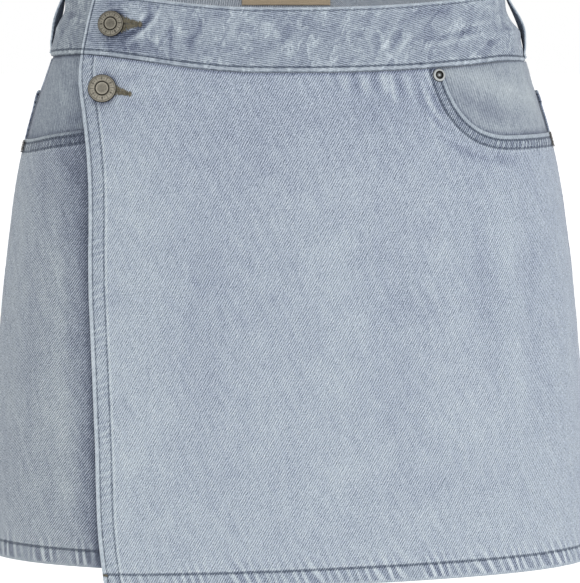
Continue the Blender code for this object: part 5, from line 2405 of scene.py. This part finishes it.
@dataclass
class WaistBand:
    """One stretch of the folded waistband.

    Attributes:
        name: Name of the piece.
        node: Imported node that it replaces.
        first: Turn where it starts, or none where it starts on the wrap's free edge.
        last: Turn where it ends.
        inset_at: Inset of its face at a turn.
        free_end: Whether its start is a finished end.
        creases: Creases drawn on it.
        level: How faded it is.
        step: Distance between the grid's lines.
        finest: Distance between its lines at an edge.
        top_row: Distance of the stitch row from the upper edge, in millimetres.
        seam_row: Distance of the next row from the lower seam.
        end_row: Distance of the last row from the free end.
        cut_radius: Radius of the curve along which the band is cut from the cloth.
        twill: Contrast of its twill.
        greyer: Whether it takes the greyer colour stops.
    """

    name: str
    node: str
    first: Optional[float]
    last: float
    inset_at: Callable
    free_end: bool = False
    creases: tuple[Crease, ...] = ()
    level: float = 0.40
    step: float = 1.7 * MM
    finest: float = 0.22 * MM
    top_row: float = 2.3
    seam_row: float = 3.3
    end_row: float = 3.0
    cut_radius: float = 430.0 * MM
    twill: float = 0.50
    greyer: bool = False

    def lay(self) -> Panel:
        """Lays the band on the form.

        Returns:
            The panel, still smooth.
        """
        down = graded(0.0415, self.step, self.finest)[:, None]
        if self.first is None:
            levels = mix(FORM.band_top(FREE_EDGE_TURN), FORM.band_seam(FREE_EDGE_TURN), down)
            first = FORM.front_turn(FORM.wrap_edge(levels), levels)
        else:
            first = np.full(down.shape, self.first)
        length = abs(float(FORM.arc(min(self.last, math.pi)) - FORM.arc(float(first[0, 0]))))
        length = max(length, 0.12) if self.last <= math.pi else 0.37
        turns = mix(first, self.last, graded(length, self.step, self.finest)[None])
        heights = mix(FORM.band_top(turns), FORM.band_seam(turns), down)
        points = FORM.ring(turns, heights, self.inset_at(turns))
        wrapped = np.where(turns > math.pi, turns - 2 * math.pi, turns)
        uv = FORM.cloth_place(wrapped, mix(BAND_TOP, BAND_SEAM, down))
        uv[..., 0] += np.where(turns > math.pi, FORM.arc(math.pi) - FORM.arc(-math.pi), 0.0) * 0.8
        swing, reach = uv[..., 0] / self.cut_radius, self.cut_radius - uv[..., 1]
        uv = np.stack([reach * np.sin(swing), self.cut_radius - reach * np.cos(swing)], -1)
        return Panel(self.name, points, BAND_WALL, uv)

    def build(self, tools: Workshop) -> Panel:
        """Builds the band and its topstitching.

        Args:
            tools: Shared groups, finishes and stitching.

        Returns:
            The panel, for the buttonhole that is worked in it.
        """
        panel = self.lay()
        seed = 140 + len(self.name)
        panel.sew(Sewing("top", (self.top_row,), 0, 0, 1.1, 0.08, 5.6, 0.4, 5, seed), Side.TOP)
        panel.sew(Sewing("seam", (self.seam_row,), 0, 0, 0.8, 0.10, 5.6, 0.4, 7, seed + 1), Side.BOTTOM)
        row = self.seam_row
        looks = [
            SeamLook("top", 1.5, (self.top_row, self.top_row), light=0.14, dark=0.14, rope=0.05, turned=0.0),
            # The band's seam has painted shade along its lower edge.
            SeamLook(
                "seam", 2.7, (row, row), light=0.10, dark=0.32, rope=0.05, turned=0.0, spread=1.1, rim=0.24
            ),
        ]
        if self.free_end:
            row = self.end_row
            panel.sew(Sewing("end", (row,), 0, 0, 1.1, 0.12, 5.0, 0.3, 4, seed + 2), Side.LEFT)
            looks.append(
                SeamLook("end", 2.4, (row, row), light=0.25, dark=0.40, rope=0.06, turned=0.0, spread=1.1)
            )
        panel.crease(self.creases, -BAND_PROUD)
        panel.undulate(0.22, 24, seed + 3)
        panel.undulate(0.10, 7, seed + 4)
        panel.offsets += side_swell(panel.points)
        if self.free_end:
            # Painted shadow of the upper button on the band.
            panel.paint_button_shadow(BUTTON_WAIST_AT, 8.4 * MM)
        finish = DenimFinish(
            "denim_" + self.name, angle=168.8, pitch=1.34 * MM, level=self.level, lean=62.0, streaks=0.16,
            clouds=0.18, rubs=0.22, twill=self.twill, greyer=self.greyer, seams=tuple(looks)
        )
        denim_piece(panel, finish, tools, Hold.FOLDED, [], self.node)
        stitching = tools.stitching
        start = 2.0 if self.free_end else 0.5
        stitching.run(panel.stitch_line("top", Side.TOP, self.top_row), (start, 0.5), seed)
        stitching.run(panel.stitch_line("seam", Side.BOTTOM, self.seam_row), (start, 0.5), seed + 1)
        if self.free_end:
            stitching.run(panel.stitch_line("end", Side.LEFT, self.end_row), (2.6, 3.0), seed + 2)
        stitching.finish("stitching_" + self.name, tools.thread)
        return panel


@dataclass
class BeltLoop:
    """Belt loop that bows away from the band over one side seam.

    Attributes:
        name: Name of the piece.
        node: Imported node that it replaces.
        side: 1 for the wearer's left, -1 for their right.
        bulge: How far it bows out.
        twist: How much further its front edge stands out than its back edge.
        peak: Share of its length where it stands furthest out.
        settled: Share of its length from which it lies on the band again.
        width: Its width.
        wall: Its thickness.
        row: Distance of its stitch rows from its edges, in millimetres.
    """

    name: str
    node: str
    side: int
    bulge: float
    twist: float
    peak: float
    settled: float
    width: float = 11.0 * MM
    wall: float = WALL
    row: float = 2.2

    def build(self, tools: Workshop) -> None:
        """Builds the loop with its two stitch rows and its bar tacks.

        Args:
            tools: Shared groups, finishes and stitching.
        """
        top = BAND_TOP - 1.0 * MM
        bottom = float(FORM.band_seam(self.side * math.pi / 2)) + 1.0 * MM
        ends = FORM.ring(np.full(2, self.side * math.pi / 2), np.array([top, bottom]), -BAND_PROUD)[:, 0]
        down = graded(0.04, 0.9 * MM, 0.3 * MM)
        across = graded(self.width, 0.7 * MM, 0.25 * MM)
        stand = self.wall + 0.3 * MM
        bow = ease(down, -0.1, self.peak) * ease(down, self.settled, self.peak)
        heights = mix(top, bottom, down)
        tucked = 1.4 * MM * ease(down, 0.8, 0.96)
        x = mix(ends[0], ends[1], down) + self.side * (stand + self.bulge * bow - tucked)
        y = self.side * (across - 0.5) * self.width
        rows = np.empty((len(down), len(across), 3))
        turned_in = self.twist * bow[:, None] * (0.5 + y[None] / self.width)
        rows[..., 0], rows[..., 1] = x[:, None] - self.side * turned_in, y[None]
        rows[..., 2] = heights[:, None]
        panel = Panel(self.name, rows, self.wall)
        edges = {"left": Side.LEFT, "right": Side.RIGHT}
        for seam, side in edges.items():
            panel.sew(Sewing(seam, (self.row,), 0, 0, 0.8, 0.10, 4.0, 0.2, 2, 160), side)
        for seam, side in (("upper", Side.TOP), ("lower", Side.BOTTOM)):
            panel.sew(Sewing(seam, roll=0.9, seed=161), side)
        looks = tuple(
            SeamLook(seam, 1.4, (self.row, self.row), light=0.22, dark=0.2, rope=0.08, turned=0.0, reach=2.0)
            for seam in edges
        )
        finish = DenimFinish("denim_" + self.name, angle=100.0, pitch=1.4 * MM, level=0.45, seams=looks)
        # The loop's inner face is painted dark, as shade inside the loop.
        inside = DenimFinish("denim_painted_shade_inside_" + self.name, angle=100.0, level=0.13, streaks=0.1, twill=0.3)
        denim_piece(panel, finish, tools, Hold.FOLDED, ["band_back"], self.node, inside.build(tools))
        stitching = tools.stitching
        for seam, side in edges.items():
            stitching.run(panel.stitch_line(seam, side, self.row), (2.0, 2.0), 3)
        face = panel.surface()
        for row in (2, 4, len(down) - 5, len(down) - 3):
            for column in range(3, len(across) - 4):
                start, end = face[row, column], face[row, column + 1]
                normal = panel.normals[row, column]
                way = face[row + 1, column] - face[row, column]
                stitching.place(start - 0.8 * way, end + 0.8 * way, normal, 0.5 * MM, 0.15 * MM)
        stitching.finish("stitching_" + self.name, tools.thread)


@dataclass
class WaistLabel:
    """Bare tan tape sewn inside the back of the band.

    Attributes:
        width: Its width.
        place: How far its middle lies from the centre back, towards +X.
        top: Height of its upper edge.
        bottom: Height of its lower edge.
        wall: Thickness of the tape.
    """

    width: float = 61.4 * MM
    place: float = -1.6 * MM
    top: float = 27.2 * MM
    bottom: float = 10.2 * MM
    wall: float = 1.0 * MM

    def build(self, tools: Workshop) -> None:
        """Builds the label, with its edges rolled.

        Args:
            tools: Shared groups, finishes and stitching.
        """
        inset = BAND_WALL - BAND_PROUD + 0.6 * MM
        down = graded(self.top - self.bottom, 0.9 * MM, 0.25 * MM)
        across = graded(self.width, 1.2 * MM, 0.25 * MM)
        heights = mix(self.top, self.bottom, down)[:, None] * np.ones((1, len(across)))
        places = (self.place + (0.5 - across[None]) * self.width) * np.ones((len(down), 1))
        turns = math.pi - FORM.front_turn(places, heights)
        points = FORM.ring(turns, heights, inset)
        panel = Panel("tape_label", points, self.wall)
        panel.undulate(0.12, 14, 171)
        for seam, side in (
            ("upper", Side.TOP), ("lower", Side.BOTTOM), ("left", Side.LEFT), ("right", Side.RIGHT)
        ):
            panel.sew(Sewing(seam, roll=0.45, seed=172), side)
        piece = panel.make(tools.tape, tools.tape)
        hand_over(piece, Slot.LABEL, "label")
        declare_cloth(piece, panel, Hold.FOLDED, "band_back")


# ---------------------------------------------------------------------------------------------
# Fastenings
# ---------------------------------------------------------------------------------------------


def frame_on_front(place: float, height: float, outwards: float) -> Matrix:
    """Matrix at a place on the front: Z leaves the cloth and X runs along it towards +X.

    Args:
        place: Place across the front.
        height: Its height.
        outwards: Distance off the form.

    Returns:
        The matrix.
    """
    reach = 2 * MM

    def spot(x: float, z: float) -> Vector:
        """Point of the front surface."""
        return Vector(FORM.ring(FORM.front_turn(x, z), z))

    centre = spot(place, height)
    across = (spot(place + reach, height) - centre).normalized()
    normal = across.cross(spot(place, height + reach) - centre).normalized()
    upwards = normal.cross(across)
    turn = Matrix((across, upwards, normal)).transposed().to_4x4()
    return Matrix.Translation(centre + normal * outwards) @ turn


@dataclass(frozen=True)
class RingPoint:
    """Point of a turned profile.

    Attributes:
        share: Share of the body's radius.
        height: Height above its back, in millimetres.
        proud: 1 where the metal stands proud and is rubbed bright, 0 in a dark hollow.
    """

    share: float
    height: float
    proud: float


@dataclass
class TurnedMetal:
    """Turned metal body that grows ring by ring from a disc.

    Attributes:
        name: Name of the body.
        radius: Radius that the rings' shares are taken of.
        steps: Number of points round it.
        rings: Its profile, from the back to the middle of the face.
        ticked: Whether a ring of ticks is pressed into its face.
        extra_brightness: How much brighter it is all over.
    """

    name: str
    radius: float
    steps: int
    rings: tuple[RingPoint, ...]
    ticked: bool = False
    extra_brightness: float = 0.0

    # Where the ticks run, as shares of the radius, and the height above which the face lies.
    LONG_TICK = (0.59, 0.83)
    SHORT_TICK = (0.66, 0.76)
    FACE_HEIGHT = 2.4 * MM
    TICK_DEPTH = 0.12 * MM
    TICK_SHINE = 0.22
    SMALLEST_SHARE = 0.02

    def build(self) -> bpy.types.Object:
        """Extrudes and scales the disc's face once for each ring of the profile.

        Returns:
            The body, standing at the origin with its face towards +Z.
        """
        first = self.rings[0]
        deselect_all()
        bpy.ops.mesh.primitive_circle_add(
            vertices=self.steps, radius=first.share * self.radius, fill_type="NGON",
            location=(0, 0, first.height * MM)
        )
        body = bpy.context.object
        body.name = body.data.name = self.name
        bpy.ops.object.transform_apply(location=True)
        bpy.ops.object.mode_set(mode="EDIT")
        bpy.ops.mesh.select_all(action="SELECT")
        for last, ring in zip(self.rings, self.rings[1:]):
            climb = (ring.height - last.height) * MM
            bpy.ops.mesh.extrude_region_move(TRANSFORM_OT_translate={"value": (0.0, 0.0, climb)})
            size = max(ring.share, self.SMALLEST_SHARE) / max(last.share, self.SMALLEST_SHARE)
            bpy.ops.transform.resize(value=(size, size, 1.0), center_override=(0.0, 0.0, ring.height * MM))
        bpy.ops.mesh.select_all(action="SELECT")
        bpy.ops.mesh.normals_make_consistent(inside=False)
        bpy.ops.object.mode_set(mode="OBJECT")
        places = read_points(body.data)
        spots = np.array([(ring.share * self.radius, ring.height * MM) for ring in self.rings])
        gaps = np.hypot(
            np.hypot(places[:, 0], places[:, 1])[:, None] - spots[:, 0], places[:, 2:] - spots[:, 1]
        )
        proud = np.array([ring.proud for ring in self.rings])[gaps.argmin(1)]
        marked = self.marks(places)
        places[marked, 2] -= self.TICK_DEPTH
        write_points(body.data, places)
        proud[marked] = self.TICK_SHINE
        attribute = body.data.attributes.new("relief", "FLOAT", "POINT")
        attribute.data.foreach_set("value", (proud + self.extra_brightness).astype(np.float32))
        return body

    def marks(self, places: np.ndarray) -> np.ndarray:
        """Picks the points that are pressed in as a ring of long and short ticks.

        Args:
            places: Places to look at, one in each row.

        Returns:
            True for each one that is pressed in.
        """
        share = np.hypot(places[:, 0], places[:, 1]) / self.radius
        column = np.rint(np.arctan2(places[:, 1], places[:, 0]) / (2 * math.pi) * self.steps).astype(int)
        in_long, in_short = (
            (share > start) & (share < end) for start, end in (self.LONG_TICK, self.SHORT_TICK)
        )
        ticks = np.isin(column % 16, (0, 8)) & in_long | np.isin(column % 16, (1, 4, 12, 15)) & in_short
        return ticks & (places[:, 2] > self.FACE_HEIGHT) & self.ticked


@dataclass
class ShankButton:
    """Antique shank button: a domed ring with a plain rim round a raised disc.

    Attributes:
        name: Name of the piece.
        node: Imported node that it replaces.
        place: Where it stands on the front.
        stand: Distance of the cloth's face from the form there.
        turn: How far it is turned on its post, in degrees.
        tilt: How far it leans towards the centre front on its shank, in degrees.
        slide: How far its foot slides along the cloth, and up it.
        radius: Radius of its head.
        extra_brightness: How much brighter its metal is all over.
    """

    name: str
    node: str
    place: tuple[float, float]
    stand: float
    turn: float = 0.0
    tilt: float = 0.0
    slide: tuple[float, float] = (0.0, 0.0)
    radius: float = 8.6 * MM
    extra_brightness: float = 0.0

    PROFILE = (
        RingPoint(0.28, -4.0, 0.1), RingPoint(0.28, 0.5, 0.1), RingPoint(0.88, 0.5, -0.2),
        RingPoint(0.955, 0.75, -0.3), RingPoint(0.995, 1.25, -0.3), RingPoint(1.0, 1.6, -0.4),
        RingPoint(0.99, 1.9, -0.3), RingPoint(0.965, 2.2, -0.05), RingPoint(0.93, 2.4, 0.62),
        RingPoint(0.90, 2.45, 0.45), RingPoint(0.87, 2.5, 0.25), RingPoint(0.83, 2.75, 0.55),
        RingPoint(0.77, 2.95, 0.62), RingPoint(0.72, 3.05, 0.64), RingPoint(0.67, 3.1, 0.64),
        RingPoint(0.61, 3.1, 0.62), RingPoint(0.55, 2.95, 0.5), RingPoint(0.505, 2.75, 0.2),
        RingPoint(0.485, 2.45, -0.2), RingPoint(0.465, 2.45, -0.2), RingPoint(0.435, 2.85, 0.5),
        RingPoint(0.41, 3.1, 0.95), RingPoint(0.37, 3.1, 0.6), RingPoint(0.30, 3.0, 0.45),
        RingPoint(0.16, 2.95, 0.4), RingPoint(0.02, 2.95, 0.4)
    )

    def build(self, tools: Workshop) -> None:
        """Builds the button, leaning on its shank until its rim rests on the cloth.

        Args:
            tools: Shared groups, finishes and stitching.
        """
        body = TurnedMetal(self.name, self.radius, 96, self.PROFILE, True, self.extra_brightness).build()
        tilt = math.radians(self.tilt)
        rest = self.radius * math.sin(tilt) - 1.25 * MM * math.cos(tilt) + 0.4 * MM
        foot = Matrix.Translation((self.slide[0], self.slide[1], max(rest, 0.0)))
        matrix = frame_on_front(*self.place, self.stand) @ foot @ Matrix.Rotation(tilt, 4, "Y")
        body.data.transform(matrix @ Matrix.Rotation(math.radians(self.turn), 4, "Z"))
        give_materials(body, tools.metal)
        smooth_by_angle(body, 40)
        hand_over(body, Slot.METAL, self.node)


@dataclass
class PocketRivet:
    """Small rivet cap with a dark hollow middle, at the pocket's inner corner.

    Attributes:
        radius: Radius of the cap.
    """

    radius: float = 4.35 * MM

    PROFILE = (
        RingPoint(0.33, -1.2, 0.1), RingPoint(0.33, 0.1, 0.1), RingPoint(0.97, 0.1, -0.2),
        RingPoint(1.0, 0.4, 0.0), RingPoint(0.98, 1.1, 0.3), RingPoint(0.91, 1.55, 0.9),
        RingPoint(0.80, 1.8, 1.2), RingPoint(0.68, 1.8, 0.9), RingPoint(0.60, 1.6, 0.0),
        RingPoint(0.56, 1.3, -0.3), RingPoint(0.51, 1.1, -0.1), RingPoint(0.30, 1.05, 0.25),
        RingPoint(0.24, 1.15, 0.3), RingPoint(0.18, 1.3, 0.45), RingPoint(0.08, 1.4, 0.8),
        RingPoint(0.01, 1.42, 0.9)
    )

    def build(self, tools: Workshop) -> None:
        """Builds the rivet.

        Args:
            tools: Shared groups, finishes and stitching.
        """
        body = TurnedMetal("rivet_cap", self.radius, 36, self.PROFILE).build()
        body.data.transform(frame_on_front(*RIVET_AT, 0.0))
        give_materials(body, tools.pewter)
        smooth_by_angle(body, 50)
        hand_over(body, Slot.METAL, "rivet")


@dataclass
class Buttonhole:
    """Keyhole worked in khaki thread: a wedge of close stitches beside a button.

    Attributes:
        name: Name of the piece.
        place: Where the button's post passes.
        panel: The cloth that it is worked in.
        start: Distance from the post to the start of the stitches that show.
        end: Distance from the post to their tip.
        half_start: Half height of the wedge at its start.
        half_end: Half height at its tip.
        drop: How far the tip lies below the start.
        pitch: Distance from one stitch to the next.
    """

    name: str
    place: tuple[float, float]
    panel: Panel
    start: float = 5.5 * MM
    end: float = 17.4 * MM
    half_start: float = 6.4 * MM
    half_end: float = 1.5 * MM
    drop: float = 0.0
    pitch: float = 0.52 * MM

    def spot(self, along: float, up: float, off: float) -> np.ndarray:
        """Place on the cloth, from the post: along it, up it and off it.

        Args:
            along: Distance along the slit from the post.
            up: Distance up from it.
            off: Distance off the cloth.

        Returns:
            The place.
        """
        x, z = self.place[0] + along, self.place[1] + up
        point = FORM.ring(FORM.front_turn(x, z), z)
        near = int(np.linalg.norm(self.panel.flat - point, axis=1).argmin())
        normal = self.panel.normals.reshape(-1, 3)[near]
        rise = (self.panel.surface().reshape(-1, 3)[near] - point) @ normal
        return point + normal * (rise + off)

    def build(self, tools: Workshop) -> None:
        """Works both lips, their tip and the dark sheet of painted shadow in the slit between them.

        Args:
            tools: Shared groups, finishes and stitching.
        """
        stitching = tools.stitching
        chance = np.random.default_rng(len(self.name))
        count = int((self.end - self.start) / self.pitch)
        normal = np.array(frame_on_front(*self.place, 0.0).to_3x3().col[2])
        for number in range(count + 1):
            share = number / count
            along = mix(self.start, self.end, share)
            middle = -self.drop * share
            half = mix(self.half_start, self.half_end, share**0.85)
            slit = mix(1.3 * MM, -0.7 * MM, min(share * 3.5, 1.0))
            for way in (1, -1):
                reach = half * chance.uniform(0.86, 1.08)
                shift = chance.uniform(-0.18, 0.18) * MM
                inner = self.spot(along, middle + way * slit * 0.8, 0.42 * MM)
                outer = self.spot(along + shift + 0.4 * MM, middle + way * reach, 0.12 * MM)
                stitching.place(inner, outer, normal, chance.uniform(0.50, 0.66) * MM, 0.30 * MM)
        for number in range(9):
            swing = mix(-80, 80, number / 8)
            way = np.array([math.cos(math.radians(swing)), math.sin(math.radians(swing))])
            inner = self.spot(self.end - 0.3 * MM, -self.drop, 0.4 * MM)
            reach = way * self.half_end * 1.5
            outer = self.spot(self.end + reach[0], -self.drop + reach[1], 0.1 * MM)
            stitching.place(inner, outer, normal, 0.55 * MM, 0.25 * MM)
        stitching.finish(self.name, tools.khaki_thread)
        self.build_slit(tools)

    def build_slit(self, tools: Workshop) -> None:
        """Lays a dark sheet between the lips, as painted shadow in the slit.

        Args:
            tools: Shared groups, finishes and stitching.
        """
        deselect_all()
        bpy.ops.mesh.primitive_grid_add(x_subdivisions=16, y_subdivisions=3, size=2.0)
        gap = bpy.context.object
        gap.name = gap.data.name = self.name + "_gap"
        places = read_points(gap.data)
        for point in places:
            share = (point[0] + 1) / 2
            along = mix(self.start - 1.0 * MM, self.start + 3.2 * MM, share)
            half = mix(1.6 * MM, 0.3 * MM, share)
            point[:] = self.spot(along, -0.4 * self.drop * share + point[1] * half, 0.55 * MM * share)
        write_points(gap.data, places)
        apply_modifier(gap, "SOLIDIFY", thickness=0.3 * MM, offset=-1.0)
        give_materials(gap, tools.shadow)
        smooth_by_angle(gap, 60)
        hand_over(gap, Slot.DENIM)


@dataclass
class BackTack:
    """Few dense khaki stitches that secure the wrap's lower corner.

    Attributes:
        place: Place of the tack, across the front and up.
        count: Number of its stitches.
        pitch: Distance from one stitch to the next.
    """

    place: tuple[float, float] = (-119.0 * MM, -354.0 * MM)
    count: int = 7
    pitch: float = 0.42 * MM

    def build(self, tools: Workshop) -> None:
        """Works the tack.

        Args:
            tools: Shared groups, finishes and stitching.
        """
        stitching = tools.stitching
        chance = np.random.default_rng(4)
        for number in range(self.count):
            x = self.place[0] + number * self.pitch
            ends = []
            for way in (1, -1):
                z = self.place[1] + way * chance.uniform(0.6, 1.1) * MM
                ends.append(np.array(FORM.ring(FORM.front_turn(x, z), z, -0.7 * MM)))
            normal = np.array(frame_on_front(x, self.place[1], 0.0).to_3x3().col[2])
            stitching.place(ends[0], ends[1], normal, 0.5 * MM, 0.2 * MM)
        stitching.finish("corner_tack", tools.khaki_thread)


@dataclass
class SideTack:
    """Bar tack in dark thread that holds a pocket's edge at the side seam.

    Attributes:
        name: Name of the piece.
        side: 1 for the wearer's left, -1 for their right.
        top: Height of its upper end.
        length: Its length down the seam.
        width: Length of its stitches, which end at the seam.
        pitch: Distance from one stitch to the next.
    """

    name: str
    side: int
    top: float
    length: float
    width: float = 12.0 * MM
    pitch: float = 0.62 * MM

    def build(self, tools: Workshop) -> None:
        """Works the tack.

        Args:
            tools: Shared groups, finishes and stitching.
        """
        stitching = tools.stitching
        chance = np.random.default_rng(3 + self.side)
        seam = float(FORM.arc(SIDE_TURN))
        normal = np.array([0.9 * self.side, -0.43, 0.0])
        for number in range(int(self.length / self.pitch)):
            z = self.top - number * self.pitch
            reach = self.width * chance.uniform(0.8, 1.1)
            ends = []
            for place in (seam - reach, seam + chance.uniform(-0.6, 0.2) * MM):
                turn = self.side * float(FORM.turn_at(place))
                ends.append(np.array(FORM.ring(turn, z + chance.uniform(-0.3, 0.3) * MM, -0.8 * MM)))
            stitching.place(ends[0], ends[1], normal, 0.72 * MM, 0.4 * MM)
        stitching.finish(self.name, tools.umber_thread)


# ---------------------------------------------------------------------------------------------
# Studio
# ---------------------------------------------------------------------------------------------


def aimed(place: Vector, target: Vector) -> Matrix:
    """Matrix of a lamp or a camera that stands at a place and faces a target."""
    turn = (target - place).to_track_quat("-Z", "Y").to_matrix().to_4x4()
    return Matrix.Translation(place) @ turn


@dataclass
class Studio:
    """Plain white sweep, soft lamps and the camera in front of the garment.

    Attributes:
        floor_height: Height of the floor.
        target: Point that the camera looks at.
        distance: Its distance from that point.
        elevation: How high it stands, in degrees.
        lens: Focal length, in millimetres.
        key_power: Power of the main lamp, in watts.
        side_power: Power of the lamp on the +X side, in watts.
        surroundings: Strength of the world's light.
    """

    floor_height: float = -0.75
    target: tuple[float, float, float] = (0.0011, 0.0, -0.1787)
    distance: float = 2.8
    elevation: float = 5.0
    lens: float = 260.6
    key_power: float = 9.0
    side_power: float = 8.0
    surroundings: float = 0.74

    def build_floor(self) -> None:
        """Lays a plain pale floor, white behind the garment, that keeps its shadow."""
        deselect_all()
        bpy.ops.mesh.primitive_plane_add(size=40.0, location=(0.0, 0.0, self.floor_height))
        floor = bpy.context.object
        floor.name = "studio_floor"
        graph = Surface("studio_white")
        rays = graph.node("ShaderNodeLightPath").outputs
        seen = graph.math("MAXIMUM", rays["Is Camera Ray"], rays["Is Glossy Ray"])
        graph.put(
            Base_Color=(0.8, 0.8, 0.8, 1.0), Roughness=0.9, Emission_Color=(1.0, 1.0, 1.0, 1.0),
            Emission_Strength=graph.math("MULTIPLY", seen, 0.55)
        )
        give_materials(floor, graph.material)

    def build_world(self) -> None:
        """Fills the studio with plain white light, and shows white behind the garment."""
        world = bpy.data.worlds.new("studio")
        world.use_nodes = True
        bpy.context.scene.world = world
        graph = Graph(world.node_tree)
        background = world.node_tree.nodes["Background"]
        background.inputs["Color"].default_value = (1.0, 1.0, 1.0, 1.0)
        rays = graph.node("ShaderNodeLightPath").outputs
        seen = graph.math("MAXIMUM", rays["Is Camera Ray"], rays["Is Transmission Ray"])
        strength = graph.total(self.surroundings, (1.0 - self.surroundings, seen))
        graph.feed(background.inputs["Strength"], strength)

    def add_lamp(self, name: str, azimuth: float, height: float, size: float, power: float) -> None:
        """Hangs a square soft lamp that faces the garment.

        Args:
            name: Name of the lamp.
            azimuth: Its turn towards +X from straight in front, in degrees.
            height: Its height.
            size: Its width.
            power: Its power, in watts.
        """
        light = bpy.data.lights.new(name, "AREA")
        light.size = size
        light.energy = power
        lamp = bpy.data.objects.new(name, light)
        bpy.context.scene.collection.objects.link(lamp)
        turn = math.radians(azimuth)
        place = Vector((2.2 * math.sin(turn), -2.2 * math.cos(turn), height))
        lamp.matrix_world = aimed(place, Vector(self.target))

    def add_camera(self) -> None:
        """Places the camera in front of the garment, a little above its waist."""
        lift = math.radians(self.elevation)
        target = Vector(self.target)
        place = target + self.distance * Vector((0.0, -math.cos(lift), math.sin(lift)))
        data = bpy.data.cameras.new("camera")
        data.sensor_fit = "HORIZONTAL"
        data.sensor_width = 36.0
        data.lens = self.lens
        data.clip_start = 0.05
        camera = bpy.data.objects.new("camera", data)
        bpy.context.scene.collection.objects.link(camera)
        camera.matrix_world = aimed(place, target)
        bpy.context.scene.camera = camera

    def build(self) -> None:
        """Sets up the whole studio."""
        bpy.context.scene.view_settings.view_transform = "Standard"
        self.add_camera()
        self.build_world()
        self.build_floor()
        self.add_lamp("key", 10.0, 0.75, 1.8, self.key_power)
        self.add_lamp("side_left", -62.0, 0.35, 1.4, 0.35 * self.side_power)
        self.add_lamp("side_right", 62.0, 0.35, 1.4, self.side_power)
        self.add_lamp("back_fill", 180.0, 1.0, 2.0, 0.6 * self.key_power)


def outer_band_inset(turn: Numbers) -> np.ndarray:
    """The band of the wrap and the back stands proud of the form."""
    return np.full(np.shape(turn), -BAND_PROUD)


def under_right_inset(turn: Numbers) -> np.ndarray:
    """The band under the wrap comes out to its side seam."""
    share = ease(SIDE_TURN + np.asarray(turn), 0.0, BAND_LAYER_TURN)
    return mix(-BAND_PROUD, UNDER_BAND_INSET, share)


def under_left_inset(turn: Numbers) -> np.ndarray:
    """The hidden half of the band lies flat under the wrap's band."""
    return np.full(np.shape(turn), UNDER_BAND_INSET)


def facing_right_inset(turn: Numbers, height: Numbers) -> np.ndarray:
    """Inset of the facing behind the shorts front that shows."""
    return right_leg_inset(turn, height) + FACING_INSET


def facing_left_inset(turn: Numbers, height: Numbers) -> np.ndarray:
    """Inset of the facing behind the wrap."""
    return np.full(np.broadcast(turn, height).shape, FACING_INSET)


def main() -> None:
    """Sets up the studio and builds every piece of the skort."""
    logging.basicConfig(level=logging.INFO, format="%(message)s")
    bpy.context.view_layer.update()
    Studio().build()
    tools = Workshop()

    back_start = SIDE_TURN + BAND_SEAM_TURN
    band = WaistBand(
        "band_over", "waistband_over", None, SIDE_TURN, outer_band_inset, True, BAND_CREASES
    ).build(tools)
    WaistBand(
        "band_back", "waistband_back", back_start, 2 * math.pi - back_start, outer_band_inset, step=2.6 * MM
    ).build(tools)
    # The band under the wrap takes a lower level, painted shade beside the wrap's band.
    WaistBand(
        "band_under_right", "waistband_under_right", -SIDE_TURN, -CENTRE_TURN, under_right_inset,
        creases=UNDER_BAND_CREASES, level=0.33, twill=0.30, greyer=True
    ).build(tools)
    WaistBand(
        "band_under_left", "waistband_under_left", CENTRE_TURN, SIDE_TURN, under_left_inset,
        level=0.34, step=3.0 * MM
    ).build(tools)
    wrap = WrapPanel().build(tools)
    parts = (
        ShortsPanel("leg_front_right", "front_leg_right", -1, 1, right_leg_inset, True, True),
        ShortsPanel("leg_front_left", "front_leg_left", 1, 1, left_leg_inset),
        ShortsPanel("leg_back_left", "back_leg_left", 1, -1, back_inset),
        ShortsPanel("leg_back_right", "back_leg_right", -1, -1, back_inset),
        Yoke("yoke_back_left", "yoke_left", 1),
        Yoke("yoke_back_right", "yoke_right", -1),
        HipFacing("facing_right", "pocket_facing_right", -1, facing_right_inset, "leg_front_right"),
        HipFacing("facing_left", "pocket_facing_left", 1, facing_left_inset, "wrap_panel"),
        BeltLoop("loop_left", "belt_loop_left", 1, 4.8 * MM, 3.5 * MM, 0.5, 0.96),
        BeltLoop("loop_right", "belt_loop_right", -1, 2.4 * MM, 4.7 * MM, 0.4, 0.90),
        WaistLabel(),
        ShankButton(
            "shank_button_waist", "button_waist", BUTTON_WAIST_AT, BAND_PROUD, 8.0, 20.0,
            (0.3 * MM, -0.6 * MM)
        ),
        ShankButton(
            "shank_button_lower", "button_lower", BUTTON_LOWER_AT, 0.3 * MM, -21.0, 27.0,
            (1.5 * MM, -1.0 * MM), 9.3 * MM, 0.10
        ),
        PocketRivet(),
        Buttonhole("buttonhole_waist", BUTTON_WAIST_AT, band),
        Buttonhole(
            "buttonhole_lower", BUTTON_LOWER_AT, wrap, half_start=4.6 * MM, half_end=1.3 * MM, drop=3.2 * MM
        ),
        BackTack(),
        SideTack("side_tack_left", 1, -71.5 * MM, 10.4 * MM),
        SideTack("side_tack_right", -1, -77.0 * MM, 8.4 * MM),
    )
    for part in parts:
        part.build(tools)


if __name__ == "__main__":
    main()
